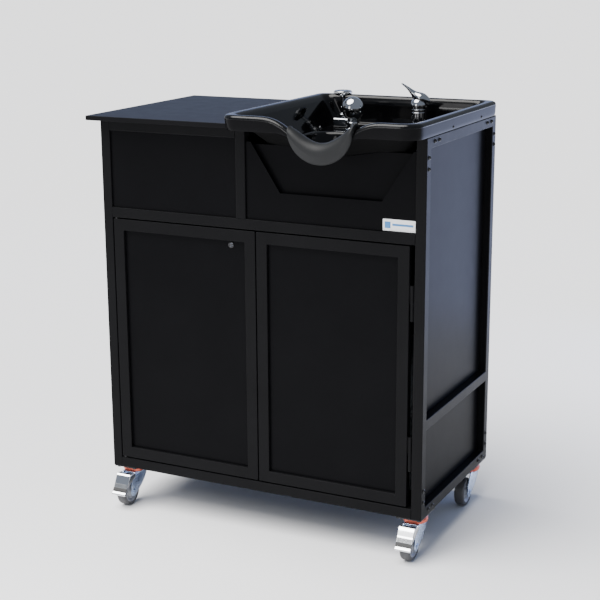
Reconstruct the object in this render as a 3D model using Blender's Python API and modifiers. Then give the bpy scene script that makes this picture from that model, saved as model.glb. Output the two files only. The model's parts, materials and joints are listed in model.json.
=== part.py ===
"""Portable shampoo backwash unit: a cabinet on casters with a worktop, a basin with a neck notch,
two doors, and the tanks, pump and heater that feed the mixer and the hand spray."""
import bpy
import bmesh
from math import cos, sin, pi, radians
from mathutils import Matrix, Vector

# ---------------------------------------------------------------- driving dimensions (metres)
LEFT = -0.4325            # X of the cabinet's left face
FRONT = -0.20185          # Y of the cabinet's front plane
BASE = 0.110              # height of the casters, floor to frame
WIDTH = 0.880
DEPTH = 0.4825
HEIGHT = 0.924            # frame only
TUBE = 0.0264             # square tube, outside
WALL = 0.0015
TUBE_ROUND = 0.002
GAP = 0.0003              # between pieces that touch
WELD = 0.00001            # points this close are one
SMOOTH_UNDER = radians(40)
PANEL_GAP = 0.0008        # round a panel, whose frame has rounded corners
SHEET = 0.002             # steel panels
MID_RAIL = 0.676          # underside of the rail above the doors
SIDE_RAIL = 0.2225        # underside of the rail across each side
POST = 0.386              # left face of the post between the two upper bays
SIDE_RECESS = 0.018       # side panels, behind the outer faces of the tubes
FRONT_RECESS = 0.006      # front panels, behind the front plane
PANEL_TOP = 0.8905        # of the panel with the cut-out
CUT_OUT = ((0.845, PANEL_TOP), (0.768, 0.771), (0.504, 0.771), (0.426, PANEL_TOP))
SPLASH_RECESS = 0.019     # the splash panel, behind the cut-out and clear of the bowl
SPLASH_TOP = 0.879
SPLASH_DIP = ((0.760, SPLASH_TOP), (0.715, 0.861), (0.580, 0.861), (0.535, SPLASH_TOP))

DOOR_GAP = 0.003
DOOR_SPLIT = 0.4385       # centre of the gap between the doors
DOOR_MEMBER = 0.029
DOOR_THICKNESS = 0.020
DOOR_WALL = 0.0012
DOOR_PANEL_RECESS = 0.009
HINGE_GAP = 0.0128        # between the right door and its leg
HINGE_RADIUS = 0.0045
HINGE_LENGTH = 0.086
HINGE_PIN = 0.002
HINGE_HEIGHTS = (0.1215, 0.4935)
PIVOT_INSET = 0.006       # left door's pivot, from its edge and from its front
PIVOT_RADIUS = 0.004
PIVOT_LENGTH = 0.012
LOCK_X = 0.3665
LOCK_Z = 0.6327
PLUG_RADIUS = 0.0042
FLOOR_RISE = 0.006        # top of the floor panel above the bottom rails
INLET_X = 0.750
INLET_Z = 0.120

WORKTOP_LEFT = -0.022
WORKTOP_RIGHT = 0.3830
WORKTOP_FRONT = -0.032
WORKTOP_BACK = 0.502
WORKTOP_THICKNESS = 0.0115

BASIN_LEFT = 0.3875
BASIN_RIGHT = 0.887
BASIN_FRONT = -0.0836
BASIN_BACK = 0.475
RIM = 0.9636              # top of the basin's rim above the frame's underside
BASIN_SHELL = 0.004
NOTCH_X = 0.648
NOTCH_HALF = 0.163
NOTCH_DEPTH = 0.070
SKIRT_NOTCH_HALF = 0.125  # the skirt's lower edge dips over a shorter stretch than the rim
DECK = 0.081              # fittings deck below the rim
DECK_FRONT = 0.318
BOWL_FRONT = 0.045
BOWL_LEFT = 0.4555
BOWL_RIGHT = 0.823
BOWL_DEPTH = 0.188
DRAIN_X = 0.640
DRAIN_Y = 0.185
DRAIN_RADIUS = 0.025
TAIL_TOP = RIM - BOWL_DEPTH - 0.0105    # the tailpiece's flange, under the bowl's lip
TAIL_LENGTH = 0.090
FRONT_STEPS = 18          # facets along the basin's front side
CORNER_STEPS = 3
SIDE_STEPS = 3

MIXER_X = 0.7014
MIXER_Y = 0.396
MIXER_RADIUS = 0.017
DOME_RADIUS = 0.0175
DOME_Z = 0.950            # centre of the mixer's dome above the frame's underside
LEVER_TURN = radians(20)  # the lever points left and a little to the front
SHANK_RADIUS = 0.010
SHANK_DROP = 0.045
BREAKER_X = 0.4858
BREAKER_Y = 0.4065
SPRAY_X = 0.543
SPRAY_Y = 0.3414
SPRAY_Z = 0.9398          # centre of the spray head
SPRAY_RADIUS = 0.0285
HOSE_RADIUS = 0.0062
HOSE_HOLE = 0.0078
HOSE_STRAIGHT = 0.140     # straight hose under the holder, as far as the head can be lifted

WHEEL_RADIUS = 0.0375
WHEEL_WIDTH = 0.026
CASTER_X = 0.0334         # from the side faces
CASTER_Y = 0.050          # from the front and back planes
CASTER_TRAIL = 0.037
PLATE_X = 0.0325          # half sizes of a caster's plate
PLATE_Y = 0.0475
PLATE_THICKNESS = 0.003
RACE_RADIUS = 0.0315
RACE_HEIGHT = 0.017
CHEEK_INSIDE = 0.0165
CHEEK_THICKNESS = 0.0025
AXLE_RADIUS = 0.004
PEDAL_HALF = 0.021
PEDAL_PIVOT = (-0.036, 0.082)   # forward of the swivel axis, above the floor

TANK_X = 0.240
TANK_Y = 0.260
TANK_Z = 0.340
TANK_WALL = 0.003
FRESH_X = 0.052
WASTE_X = 0.584
TANK_FRONT = 0.060
NECK_RADIUS = 0.024
NECK_BORE = 0.020
NECK_HEIGHT = 0.030
WASTE_HOSE_RADIUS = 0.015
HEATER_X = 0.320
HEATER_Y = 0.215
HEATER_SIDE = 0.240
HEATER_HEIGHT = 0.336
HEATER_FEET = 0.004       # air gap under the casing
PUMP_X = 0.440
PUMP_Y = 0.130


def cabinet(x, y, z):
    """World position of a point given from the frame's lower left front corner."""
    return Vector((LEFT + x, FRONT + y, BASE + z))


# ---------------------------------------------------------------- scene and materials
def clear_scene():
    for item in list(bpy.data.objects):
        bpy.data.objects.remove(item)


def collection(name):
    found = bpy.data.collections.get(name)
    if found is None:
        found = bpy.data.collections.new(name)
        bpy.context.scene.collection.children.link(found)
    return found


def finish(name, colour, roughness, metallic=0.0):
    material = bpy.data.materials.new(name)
    material.use_nodes = True
    shader = material.node_tree.nodes["Principled BSDF"]
    shader.inputs["Base Color"].default_value = (*colour, 1.0)
    shader.inputs["Roughness"].default_value = roughness
    shader.inputs["Metallic"].default_value = metallic
    return material


def make_finishes():
    return {
        "powder_black": finish("powder_black", (0.022, 0.023, 0.026), 0.45),
        "panel_black": finish("panel_black", (0.018, 0.019, 0.022), 0.38),
        "laminate_black": finish("laminate_black", (0.030, 0.030, 0.034), 0.45),
        "gloss_black": finish("gloss_black", (0.010, 0.010, 0.011), 0.12),
        "rubber_dark": finish("rubber_dark", (0.045, 0.047, 0.050), 0.55),
        "chrome": finish("chrome", (0.85, 0.86, 0.88), 0.07, 1.0),
        "zinc": finish("zinc", (0.62, 0.66, 0.74), 0.30, 1.0),
        "tyre_grey": finish("tyre_grey", (0.17, 0.17, 0.18), 0.65),
        "tank_white": finish("tank_white", (0.78, 0.80, 0.80), 0.45),
        "tank_grey": finish("tank_grey", (0.35, 0.37, 0.39), 0.45),
        "casing_white": finish("casing_white", (0.75, 0.75, 0.74), 0.35),
        "pump_black": finish("pump_black", (0.03, 0.03, 0.03), 0.5),
        "hose_grey": finish("hose_grey", (0.30, 0.31, 0.32), 0.5),
    }


def add_object(name, mesh, material):
    """An object in the unit's collection; guides have no material."""
    made = bpy.data.objects.new(name, mesh)
    if material is not None:
        mesh.materials.clear()
        mesh.materials.append(material)
    collection("shampoo_backwash_unit").objects.link(made)
    return made


def hide_cutter(cutter):
    """A cutter is only a guide: it isn't rendered."""
    for group in list(cutter.users_collection):
        group.objects.unlink(cutter)
    collection("cutters").objects.link(cutter)
    cutter.hide_render = True
    cutter.display_type = "WIRE"


def boolean(target, tool, operation):
    hide_cutter(tool)
    modifier = target.modifiers.new(operation.lower(), "BOOLEAN")
    modifier.operation = operation
    modifier.object = tool
    modifier.solver = "EXACT"


def cut(target, *tools):
    for tool in tools:
        boolean(target, tool, "DIFFERENCE")
    return target


def join(target, *tools):
    for tool in tools:
        boolean(target, tool, "UNION")
    return target


def smooth(made):
    made.data.shade_smooth()
    made.data.set_sharp_from_angle(angle=SMOOTH_UNDER)
    return made


def bevel(made, width):
    modifier = made.modifiers.new("bevel", "BEVEL")
    modifier.width = width
    modifier.segments = 2
    modifier.limit_method = "ANGLE"
    modifier.angle_limit = radians(40)
    return made


# ---------------------------------------------------------------- basic shapes
def box(name, low, high, material, round_edges=0.0):
    low = Vector(low)
    high = Vector(high)
    mesh = bpy.data.meshes.new(name)
    shape = bmesh.new()
    bmesh.ops.create_cube(shape, size=1.0)
    bmesh.ops.scale(shape, vec=high - low, verts=shape.verts)
    shape.to_mesh(mesh)
    shape.free()
    made = add_object(name, mesh, material)
    made.location = (low + high) / 2
    if round_edges:
        bevel(made, round_edges)
    return made


AXIS_TURN = {
    "X": Matrix.Rotation(radians(90), 4, "Y"),
    "Y": Matrix.Rotation(radians(-90), 4, "X"),
    "Z": Matrix.Identity(4),
}


def cylinder(name, centre, radius, length, axis, material=None, segments=24):
    mesh = bpy.data.meshes.new(name)
    shape = bmesh.new()
    bmesh.ops.create_cone(shape, cap_ends=True, segments=segments, radius1=radius, radius2=radius,
                          depth=length)
    bmesh.ops.transform(shape, matrix=AXIS_TURN[axis], verts=shape.verts)
    shape.to_mesh(mesh)
    shape.free()
    made = smooth(add_object(name, mesh, material))
    made.location = centre
    return made


def turned(name, profile, origin, material, axis="Z", steps=28):
    """A profile of (radius, height) points, outer side from top to bottom, turned about its axis."""
    mesh = bpy.data.meshes.new(name)
    shape = bmesh.new()
    points = [shape.verts.new((radius, 0.0, height)) for radius, height in profile]
    for first, second in zip(points, points[1:]):
        shape.edges.new((first, second))
    if profile[0][0] > 0 and profile[-1][0] > 0:
        shape.edges.new((points[-1], points[0]))
    shape.to_mesh(mesh)
    shape.free()
    made = add_object(name, mesh, material)
    screw = made.modifiers.new("turn", "SCREW")
    screw.steps = steps
    screw.render_steps = steps
    screw.use_merge_vertices = True
    screw.merge_threshold = WELD
    made.matrix_world = Matrix.Translation(origin) @ AXIS_TURN[axis]
    return made


def mesh_from_curve(name, curve, matrix, material):
    """The evaluated mesh of a curve, with its caps welded."""
    source = bpy.data.objects.new(name + "_curve", curve)
    bpy.context.scene.collection.objects.link(source)
    source.matrix_world = matrix
    bpy.context.view_layer.update()
    evaluated = source.evaluated_get(bpy.context.evaluated_depsgraph_get())
    mesh = bpy.data.meshes.new_from_object(evaluated)
    shape = bmesh.new()
    shape.from_mesh(mesh)
    bmesh.ops.remove_doubles(shape, verts=shape.verts, dist=WELD)
    bmesh.ops.recalc_face_normals(shape, faces=shape.faces)
    shape.to_mesh(mesh)
    shape.free()
    bpy.data.objects.remove(source)
    made = add_object(name, mesh, material)
    made.matrix_world = matrix
    return made


# local x and y of a flat outline laid on a plane of the cabinet, thickness along the third axis
PLANES = {
    "YZ": Matrix(((0, 0, 1, 0), (1, 0, 0, 0), (0, 1, 0, 0), (0, 0, 0, 1))),
    "XZ": Matrix(((1, 0, 0, 0), (0, 0, -1, 0), (0, 1, 0, 0), (0, 0, 0, 1))),
}


def plate(name, loops, plane, centre, thickness, material):
    """A flat outline, with its windows, given as loops of points and extruded both ways."""
    curve = bpy.data.curves.new(name, "CURVE")
    curve.dimensions = "2D"
    curve.fill_mode = "BOTH"
    curve.extrude = thickness / 2
    for loop in loops:
        spline = curve.splines.new("POLY")
        spline.points.add(len(loop) - 1)
        for point, (x, y) in zip(spline.points, loop):
            point.co = (x, y, 0.0, 1.0)
        spline.use_cyclic_u = True
    return mesh_from_curve(name, curve, Matrix.Translation(centre) @ PLANES[plane], material)


def hose(name, points, radius, material, samples=40):
    """A round hose through the given points, on one smooth curve."""
    curve = bpy.data.curves.new(name, "CURVE")
    curve.dimensions = "3D"
    curve.bevel_depth = radius
    curve.bevel_resolution = 2
    curve.use_fill_caps = True
    path = smooth_path(points, samples)
    spline = curve.splines.new("POLY")
    spline.points.add(len(path) - 1)
    for point, place in zip(spline.points, path):
        point.co = (*place, 1.0)
    return smooth(mesh_from_curve(name, curve, Matrix.Identity(4), material))


def smooth_path(points, samples):
    """Catmull-Rom curve through the points, sampled evenly in its parameter."""
    points = [Vector(point) for point in points]
    ends = [2 * points[0] - points[1]] + points + [2 * points[-1] - points[-2]]
    path = []
    for index in range(samples):
        place = index * (len(points) - 1) / (samples - 1)
        span = min(int(place), len(points) - 2)
        t = place - span
        a, b, c, d = ends[span:span + 4]
        path.append(0.5 * (2 * b + (c - a) * t + (2 * a - 5 * b + 4 * c - d) * t ** 2
                           + (3 * b - a - 3 * c + d) * t ** 3))
    return path


def rectangle(x0, y0, x1, y1):
    return [(x0, y0), (x1, y0), (x1, y1), (x0, y1)]


def arc(centre, radius, start, end, steps):
    """Points on an arc, angles in degrees."""
    turn = [radians(start + (end - start) * step / steps) for step in range(steps + 1)]
    return [(centre[0] + radius * cos(angle), centre[1] + radius * sin(angle)) for angle in turn]


def loft(name, rings, material, closed_ends=True):
    """Skin over rings of equal point counts."""
    mesh = bpy.data.meshes.new(name)
    shape = bmesh.new()
    rows = [[shape.verts.new(point) for point in ring] for ring in rings]
    count = len(rows[0])
    for lower, upper in zip(rows, rows[1:]):
        for index in range(count):
            after = (index + 1) % count
            shape.faces.new((lower[index], lower[after], upper[after], upper[index]))
    if closed_ends:
        shape.faces.new(list(reversed(rows[0])))
        shape.faces.new(rows[-1])
        bmesh.ops.recalc_face_normals(shape, faces=shape.faces)
    shape.to_mesh(mesh)
    shape.free()
    return smooth(add_object(name, mesh, material))


# ---------------------------------------------------------------- frame
def side_frame(name, outer_x, looks):
    """Two legs and three rails, welded from square tube; the legs' lower ends are open."""
    windows = (rectangle(TUBE, TUBE, DEPTH - TUBE, SIDE_RAIL),
               rectangle(TUBE, SIDE_RAIL + TUBE, DEPTH - TUBE, HEIGHT - TUBE))
    centre = cabinet(outer_x, 0, 0)
    made = plate(name, [rectangle(0, 0, DEPTH, HEIGHT), *windows], "YZ", centre, TUBE,
                 looks["powder_black"])
    bevel(made, TUBE_ROUND)
    below = -0.01
    leg = TUBE - WALL
    hollow = [(WALL, below), (leg, below), (leg, WALL), (DEPTH - leg, WALL), (DEPTH - leg, below),
              (DEPTH - WALL, below), (DEPTH - WALL, HEIGHT - WALL), (WALL, HEIGHT - WALL)]
    inner_windows = (rectangle(leg, leg, DEPTH - leg, SIDE_RAIL + WALL),
                     rectangle(leg, SIDE_RAIL + leg, DEPTH - leg, HEIGHT - leg))
    core = plate(name + "_core", [hollow, *inner_windows], "YZ", centre, TUBE - 2 * WALL, None)
    return cut(made, core)


def square_tube(name, low, high, axis, looks):
    """A length of square tube with open ends."""
    made = box(name, low, high, looks["powder_black"])
    shape = bmesh.new()
    shape.from_mesh(made.data)
    index = "XYZ".index(axis)
    ends = [face for face in shape.faces if abs(face.normal[index]) > 0.9]
    bmesh.ops.delete(shape, geom=ends, context="FACES_ONLY")
    shape.to_mesh(made.data)
    shape.free()
    bevel(made, TUBE_ROUND)
    wall = made.modifiers.new("wall", "SOLIDIFY")
    wall.thickness = WALL
    wall.offset = -1
    return made


def rails(looks):
    left = TUBE + GAP
    right = WIDTH - TUBE - GAP
    back = DEPTH - TUBE
    rows = {
        "front_bottom_rail": (left, right, 0.0, 0.0),
        "front_mid_rail": (left, right, 0.0, MID_RAIL),
        "front_top_rail": (left, POST - GAP, 0.0, HEIGHT - TUBE),
        "back_bottom_rail": (left, right, back, 0.0),
        "back_top_rail": (left, right, back, HEIGHT - TUBE),
    }
    for name, (x0, x1, y, z) in rows.items():
        square_tube(name, cabinet(x0, y, z), cabinet(x1, y + TUBE, z + TUBE), "X", looks)
    square_tube("centre_post", cabinet(POST, 0, MID_RAIL + TUBE + GAP),
                cabinet(POST + TUBE, TUBE, HEIGHT), "Z", looks)


# ---------------------------------------------------------------- panels
def side_panels(looks):
    for side, face in (("left", SIDE_RECESS), ("right", WIDTH - SIDE_RECESS - SHEET)):
        y0 = TUBE + PANEL_GAP
        y1 = DEPTH - TUBE - PANEL_GAP
        bays = (("lower", TUBE + PANEL_GAP, SIDE_RAIL - PANEL_GAP),
                ("upper", SIDE_RAIL + TUBE + PANEL_GAP, HEIGHT - TUBE - PANEL_GAP))
        for bay, z0, z1 in bays:
            box(f"{side}_{bay}_panel", cabinet(face, y0, z0), cabinet(face + SHEET, y1, z1),
                looks["panel_black"])


def front_panels(looks):
    bottom = MID_RAIL + TUBE + GAP
    centre_y = FRONT_RECESS + SHEET / 2
    box("front_left_panel", cabinet(TUBE + GAP, FRONT_RECESS, bottom),
        cabinet(POST - GAP, FRONT_RECESS + SHEET, HEIGHT - TUBE - GAP), looks["panel_black"])
    left = POST + TUBE + GAP
    right = WIDTH - TUBE - GAP
    sides = [(left, bottom), (right, bottom)]
    front = sides + [(right, PANEL_TOP), *CUT_OUT, (left, PANEL_TOP)]
    plate("front_right_panel", [front], "XZ", cabinet(0, centre_y, 0), SHEET, looks["panel_black"])
    splash = sides + [(right, SPLASH_TOP), *SPLASH_DIP, (left, SPLASH_TOP)]
    plate("splash_panel", [splash], "XZ", cabinet(0, SPLASH_RECESS + SHEET / 2, 0), SHEET,
          looks["panel_black"])


def inlet_box(name, half_x, half_z, y0, y1, material):
    """A box about the axis of the power inlet."""
    return box(name, cabinet(INLET_X - half_x, y0, INLET_Z - half_z),
               cabinet(INLET_X + half_x, y1, INLET_Z + half_z), material)


def back_panel(looks):
    face = DEPTH - FRONT_RECESS - SHEET
    made = box("back_panel", cabinet(TUBE + GAP, face, TUBE + GAP),
               cabinet(WIDTH - TUBE - GAP, face + SHEET, HEIGHT - TUBE - GAP),
               looks["panel_black"])
    outside = face + SHEET
    cut(made, inlet_box("inlet_window", 0.0145, 0.0105, face - 0.010, outside + 0.010, None))
    inlet = inlet_box("power_inlet", 0.0250, 0.0160, outside + GAP, outside + 0.003,
                      looks["pump_black"])
    join(inlet, inlet_box("inlet_housing", 0.0140, 0.0100, face - 0.022, outside + 0.002, None))
    cut(inlet, inlet_box("inlet_socket", 0.0115, 0.0075, face - 0.014, outside + 0.010, None))


def floor_and_top(looks):
    clear = 0.002
    box("floor_panel", cabinet(TUBE + GAP, DOOR_THICKNESS + clear, TUBE + GAP),
        cabinet(WIDTH - TUBE - GAP, DEPTH - FRONT_RECESS - SHEET - clear, TUBE + FLOOR_RISE),
        looks["panel_black"])
    box("worktop", cabinet(WORKTOP_LEFT, WORKTOP_FRONT, HEIGHT + GAP),
        cabinet(WORKTOP_RIGHT, WORKTOP_BACK, HEIGHT + GAP + WORKTOP_THICKNESS),
        looks["laminate_black"], 0.0012)


# ---------------------------------------------------------------- doors
DOOR_BOTTOM = TUBE + 0.0035
DOOR_TOP = MID_RAIL - DOOR_GAP


def door_span(side):
    """Left and right edges of a door."""
    if side == "left":
        return TUBE + DOOR_GAP, DOOR_SPLIT - DOOR_GAP / 2
    return DOOR_SPLIT + DOOR_GAP / 2, WIDTH - TUBE - HINGE_GAP


def door_window(side):
    x0, x1 = door_span(side)
    return (x0 + DOOR_MEMBER, DOOR_BOTTOM + DOOR_MEMBER, x1 - DOOR_MEMBER, DOOR_TOP - DOOR_MEMBER)


def door_frame(side, looks):
    """Four lengths of hollow section, mitred and welded; small holes let the inside breathe."""
    x0, x1 = door_span(side)
    window = door_window(side)
    centre = cabinet(0, DOOR_THICKNESS / 2, 0)
    name = side + "_door_frame"
    made = plate(name, [rectangle(x0, DOOR_BOTTOM, x1, DOOR_TOP), rectangle(*window)], "XZ", centre,
                 DOOR_THICKNESS, looks["powder_black"])
    bevel(made, 0.0012)
    inset = DOOR_WALL
    core_outer = rectangle(x0 + inset, DOOR_BOTTOM + inset, x1 - inset, DOOR_TOP - inset)
    core_inner = rectangle(window[0] - inset, window[1] - inset, window[2] + inset, window[3] + inset)
    core = plate(name + "_core", [core_outer, core_inner], "XZ", centre,
                 DOOR_THICKNESS - 2 * DOOR_WALL, None)
    cut(made, core)
    if side == "left":
        for z in (DOOR_BOTTOM, DOOR_TOP):
            cut(made, cylinder("pivot_hole", cabinet(x0 + PIVOT_INSET, PIVOT_INSET, z),
                               PIVOT_RADIUS + GAP, 0.010, "Z"))
    else:
        cut(made, cylinder("drain_hole", cabinet(x0 + 0.1, DOOR_THICKNESS / 2, DOOR_BOTTOM), 0.002,
                           0.010, "Z", segments=12))
    return made


def left_pivots(looks):
    x0, _ = door_span("left")
    x = x0 + PIVOT_INSET
    y = PIVOT_INSET
    low = TUBE + GAP
    high = MID_RAIL - GAP
    spots = (("lower", low, low + PIVOT_LENGTH), ("upper", high - PIVOT_LENGTH, high))
    for name, z0, z1 in spots:
        cylinder(f"left_pivot_{name}", cabinet(x, y, (z0 + z1) / 2), PIVOT_RADIUS, z1 - z0, "Z",
                 looks["zinc"], 20)


def hinge_axis():
    return WIDTH - TUBE - HINGE_GAP + 0.0067, HINGE_RADIUS


def right_hinges(door, looks):
    """Lift-off hinges: a leaf and pin on the leg, a leaf and sleeve welded to the door."""
    x, y = hinge_axis()
    leg_face = WIDTH - TUBE - GAP
    door_edge = WIDTH - TUBE - HINGE_GAP
    half = HINGE_LENGTH / 2
    leaf = 0.001
    depth = 0.019
    web = 0.002
    for name, bottom in zip(("lower", "upper"), HINGE_HEIGHTS):
        middle = bottom + half
        base = cylinder(f"right_hinge_{name}", cabinet(x, y, bottom + half / 2), HINGE_RADIUS,
                        half, "Z", looks["powder_black"], 20)
        join(base,
             box("base_leaf", cabinet(leg_face - leaf, y, bottom),
                 cabinet(leg_face, y + depth, bottom + HINGE_LENGTH), None),
             box("base_web", cabinet(x, y - web / 2, bottom),
                 cabinet(leg_face - leaf / 2, y + web / 2, middle), None),
             cylinder("base_pin", cabinet(x, y, middle + half / 2 - 0.004), HINGE_PIN,
                      half - 0.006, "Z", segments=12))
        sleeve = cylinder(f"sleeve_{name}", cabinet(x, y, middle + half / 2 + GAP / 2), HINGE_RADIUS,
                          half - GAP, "Z", segments=20)
        join(door, sleeve,
             box(f"door_web_{name}", cabinet(door_edge - 0.001, y - web / 2, middle + GAP),
                 cabinet(x, y + web / 2, bottom + HINGE_LENGTH - GAP), None))
        cut(door, cylinder(f"sleeve_bore_{name}", cabinet(x, y, middle + half / 2 - 0.004),
                           HINGE_PIN + GAP, half, "Z", segments=12))


def door_panels(looks):
    panels = {}
    for side in ("left", "right"):
        x0, z0, x1, z1 = door_window(side)
        panels[side] = box(
            f"{side}_door_panel", cabinet(x0 + PANEL_GAP, DOOR_PANEL_RECESS, z0 + PANEL_GAP),
            cabinet(x1 - PANEL_GAP, DOOR_PANEL_RECESS + SHEET, z1 - PANEL_GAP),
            looks["panel_black"])
    hole = cylinder("lock_hole", cabinet(LOCK_X, DOOR_PANEL_RECESS, LOCK_Z), 0.0065, 0.02, "Y")
    cut(panels["left"], hole)


def lock(looks):
    """A cam lock: the barrel is fixed in the panel, and the plug turns the cam behind it."""
    front = DOOR_PANEL_RECESS - GAP
    length = 0.0275
    bore = PLUG_RADIUS + GAP
    turned("lock_barrel", [(bore, -0.0020), (0.0060, -0.0020), (0.0078, -0.0012), (0.0078, 0.0),
                           (0.0061, 0.0), (0.0061, length - front), (bore, length - front)][::-1],
           cabinet(LOCK_X, front, LOCK_Z), looks["chrome"], "Y", 24)
    cam_y = length + GAP
    outline = arc((LOCK_X, LOCK_Z), 0.008, -90, 90, 8) + arc((LOCK_X - 0.055, LOCK_Z), 0.005,
                                                            90, 270, 6)
    cam = plate("lock_cam", [outline], "XZ", cabinet(0, cam_y + 0.00125, 0), 0.0025, looks["zinc"])
    plug_front = front - 0.0018
    join(cam, cylinder("lock_plug", cabinet(LOCK_X, (plug_front + cam_y + 0.004) / 2, LOCK_Z),
                       PLUG_RADIUS, cam_y + 0.004 - plug_front, "Y"))


# ---------------------------------------------------------------- casters
def caster_places():
    back = DEPTH - CASTER_Y
    return {
        "front_left": (CASTER_X, CASTER_Y),
        "front_right": (WIDTH - CASTER_X, CASTER_Y),
        "back_left": (CASTER_X, back),
        "back_right": (WIDTH - CASTER_X, back),
    }


def caster_plate(name, x, y, looks):
    top = -GAP
    made = box(f"caster_{name}_plate", cabinet(x - PLATE_X, y - PLATE_Y, top - PLATE_THICKNESS),
               cabinet(x + PLATE_X, y + PLATE_Y, top), looks["zinc"])
    centre = top - PLATE_THICKNESS - RACE_HEIGHT / 2
    join(made, cylinder("race", cabinet(x, y, centre + 0.0005), RACE_RADIUS, RACE_HEIGHT + 0.001,
                        "Z"))


def cheek_outline(y):
    """Side of the fork: wide under the bearing, then forward and down to a round end at the axle."""
    top = BASE - GAP - PLATE_THICKNESS - RACE_HEIGHT - GAP
    axle = (y - CASTER_TRAIL, WHEEL_RADIUS)
    end = arc(axle, 0.0130, -50, -215, 8)
    return ([(y - 0.031, top), (y + 0.027, top), (y + 0.029, 0.080), (y + 0.023, 0.065),
             (y + 0.008, 0.050), (y - 0.010, 0.038)] + end + [(y - 0.046, 0.062), (y - 0.041, 0.074)])


def caster_fork(name, x, y, looks):
    top = BASE - GAP - PLATE_THICKNESS - RACE_HEIGHT - GAP
    place = cabinet(x, y, 0)
    half = CHEEK_INSIDE + CHEEK_THICKNESS
    made = box(f"caster_{name}_fork", (place.x - half, place.y - 0.031, top - 0.003),
               (place.x + half, place.y + 0.027, top), looks["zinc"])
    for side in (-1, 1):
        centre_x = place.x + side * (CHEEK_INSIDE + CHEEK_THICKNESS / 2)
        cheek = plate("cheek", [cheek_outline(place.y)], "YZ", (centre_x, 0, 0), CHEEK_THICKNESS,
                      None)
        join(made, cheek)
    axle = (place.x, place.y - CASTER_TRAIL, WHEEL_RADIUS)
    join(made, cylinder("axle", axle, AXLE_RADIUS, 2 * half + 0.006, "X", segments=16))


def caster_wheel(name, x, y, looks):
    """A wheel with a grey tread and a hub as wide as the fork allows."""
    place = cabinet(x, y - CASTER_TRAIL, 0)
    half = WHEEL_WIDTH / 2
    hub = CHEEK_INSIDE - 0.0007
    bore = AXLE_RADIUS + GAP
    rim = 0.026
    profile = [(bore, -hub), (0.0095, -hub), (rim, -0.009), (rim + 0.003, -half),
               (0.0335, -half), (WHEEL_RADIUS, -half + 0.005), (WHEEL_RADIUS, half - 0.005),
               (0.0335, half), (rim + 0.003, half), (rim, 0.009), (0.0095, hub),
               (bore, hub)][::-1]
    turned(f"caster_{name}_wheel", profile, (place.x, place.y, WHEEL_RADIUS), looks["tyre_grey"],
           "X", 22)


def brake_pedal(name, x, y, looks):
    """A pressed tread plate in front of the wheel, on two arms outside the fork."""
    place = cabinet(x, y, 0)
    pivot_y, pivot_z = PEDAL_PIVOT
    tread = [(-0.048, 0.0925), (-0.054, 0.0915), (-0.0585, 0.0875), (-0.0705, 0.0660),
             (-0.0775, 0.0520), (-0.0850, 0.0450), (-0.0860, 0.0385), (-0.0800, 0.0375),
             (-0.0750, 0.0500), (-0.0680, 0.0650), (-0.0565, 0.0855), (-0.048, 0.0895)]
    outline = [(place.y + across, up) for across, up in tread]
    made = plate(f"caster_{name}_pedal", [outline], "YZ", (place.x, 0, 0), 2 * PEDAL_HALF,
                 looks["chrome"])
    arm = arc((place.y + pivot_y, pivot_z), 0.0065, -60, 90, 6)
    arm += [(place.y - 0.0565, 0.0885), (place.y - 0.0735, 0.0575)]
    width = 0.0016
    for side in (-1, 1):
        centre_x = place.x + side * (PEDAL_HALF - width / 2)
        join(made, plate("pedal_arm", [arm], "YZ", (centre_x, 0, 0), width, None))


def casters(looks):
    for name, (x, y) in caster_places().items():
        caster_plate(name, x, y, looks)
        caster_fork(name, x, y, looks)
        caster_wheel(name, x, y, looks)
        if name.startswith("front"):
            brake_pedal(name, x, y, looks)


# ---------------------------------------------------------------- basin
def notch(x, half=NOTCH_HALF):
    """How far the rim dips for the neck at this place along the front."""
    t = min(1.0, abs(x - NOTCH_X) / half)
    return NOTCH_DEPTH * (0.5 * (1 + cos(pi * t))) ** 1.5


# left, right, front and back inset from the outer edge; depth under the rim; share of the notch;
# radius of the front and of the back corners. The first ring is the skirt's lower edge, the next
# seven are the rim, and the rest go down the wall to the fittings deck
BASIN_RINGS = (
    (0.0035, 0.0012, 0.0040, 0.0035, 0.0385, 0.74, 0.040, 0.018),
    (0.0008, 0.0008, 0.0010, 0.0008, 0.0190, 0.93, 0.042, 0.020),
    (0.0000, 0.0000, 0.0000, 0.0000, 0.0100, 1.0, 0.042, 0.020),
    (0.0014, 0.0014, 0.0014, 0.0014, 0.0048, 1.0, 0.041, 0.020),
    (0.0050, 0.0050, 0.0050, 0.0050, 0.0014, 1.0, 0.038, 0.020),
    (0.0120, 0.0120, 0.0120, 0.0120, 0.0000, 1.0, 0.034, 0.020),
    (0.0200, 0.0200, 0.0200, 0.0200, 0.0014, 1.0, 0.032, 0.022),
    (0.0265, 0.0265, 0.0265, 0.0240, 0.0060, 1.0, 0.032, 0.024),
    (0.0320, 0.0320, 0.0330, 0.0262, 0.0150, 0.95, 0.034, 0.026),
    (0.0400, 0.0400, 0.0440, 0.0272, 0.0320, 0.78, 0.040, 0.028),
    (0.0520, 0.0520, 0.0720, 0.0284, 0.0560, 0.48, 0.050, 0.030),
    (0.0600, 0.0600, 0.1000, 0.0310, 0.0740, 0.24, 0.055, 0.032),
    (0.0650, 0.0610, 0.1160, 0.0370, 0.0810, 0.14, 0.060, 0.034),
)


# the deep bowl: inset from the deck's edge, depth under the rim, radius of the corners
BOWL_RINGS = (
    (0.005, 0.090, 0.050),
    (0.012, 0.130, 0.055),
    (0.022, 0.162, 0.060),
    (0.045, 0.180, 0.070),
)


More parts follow.
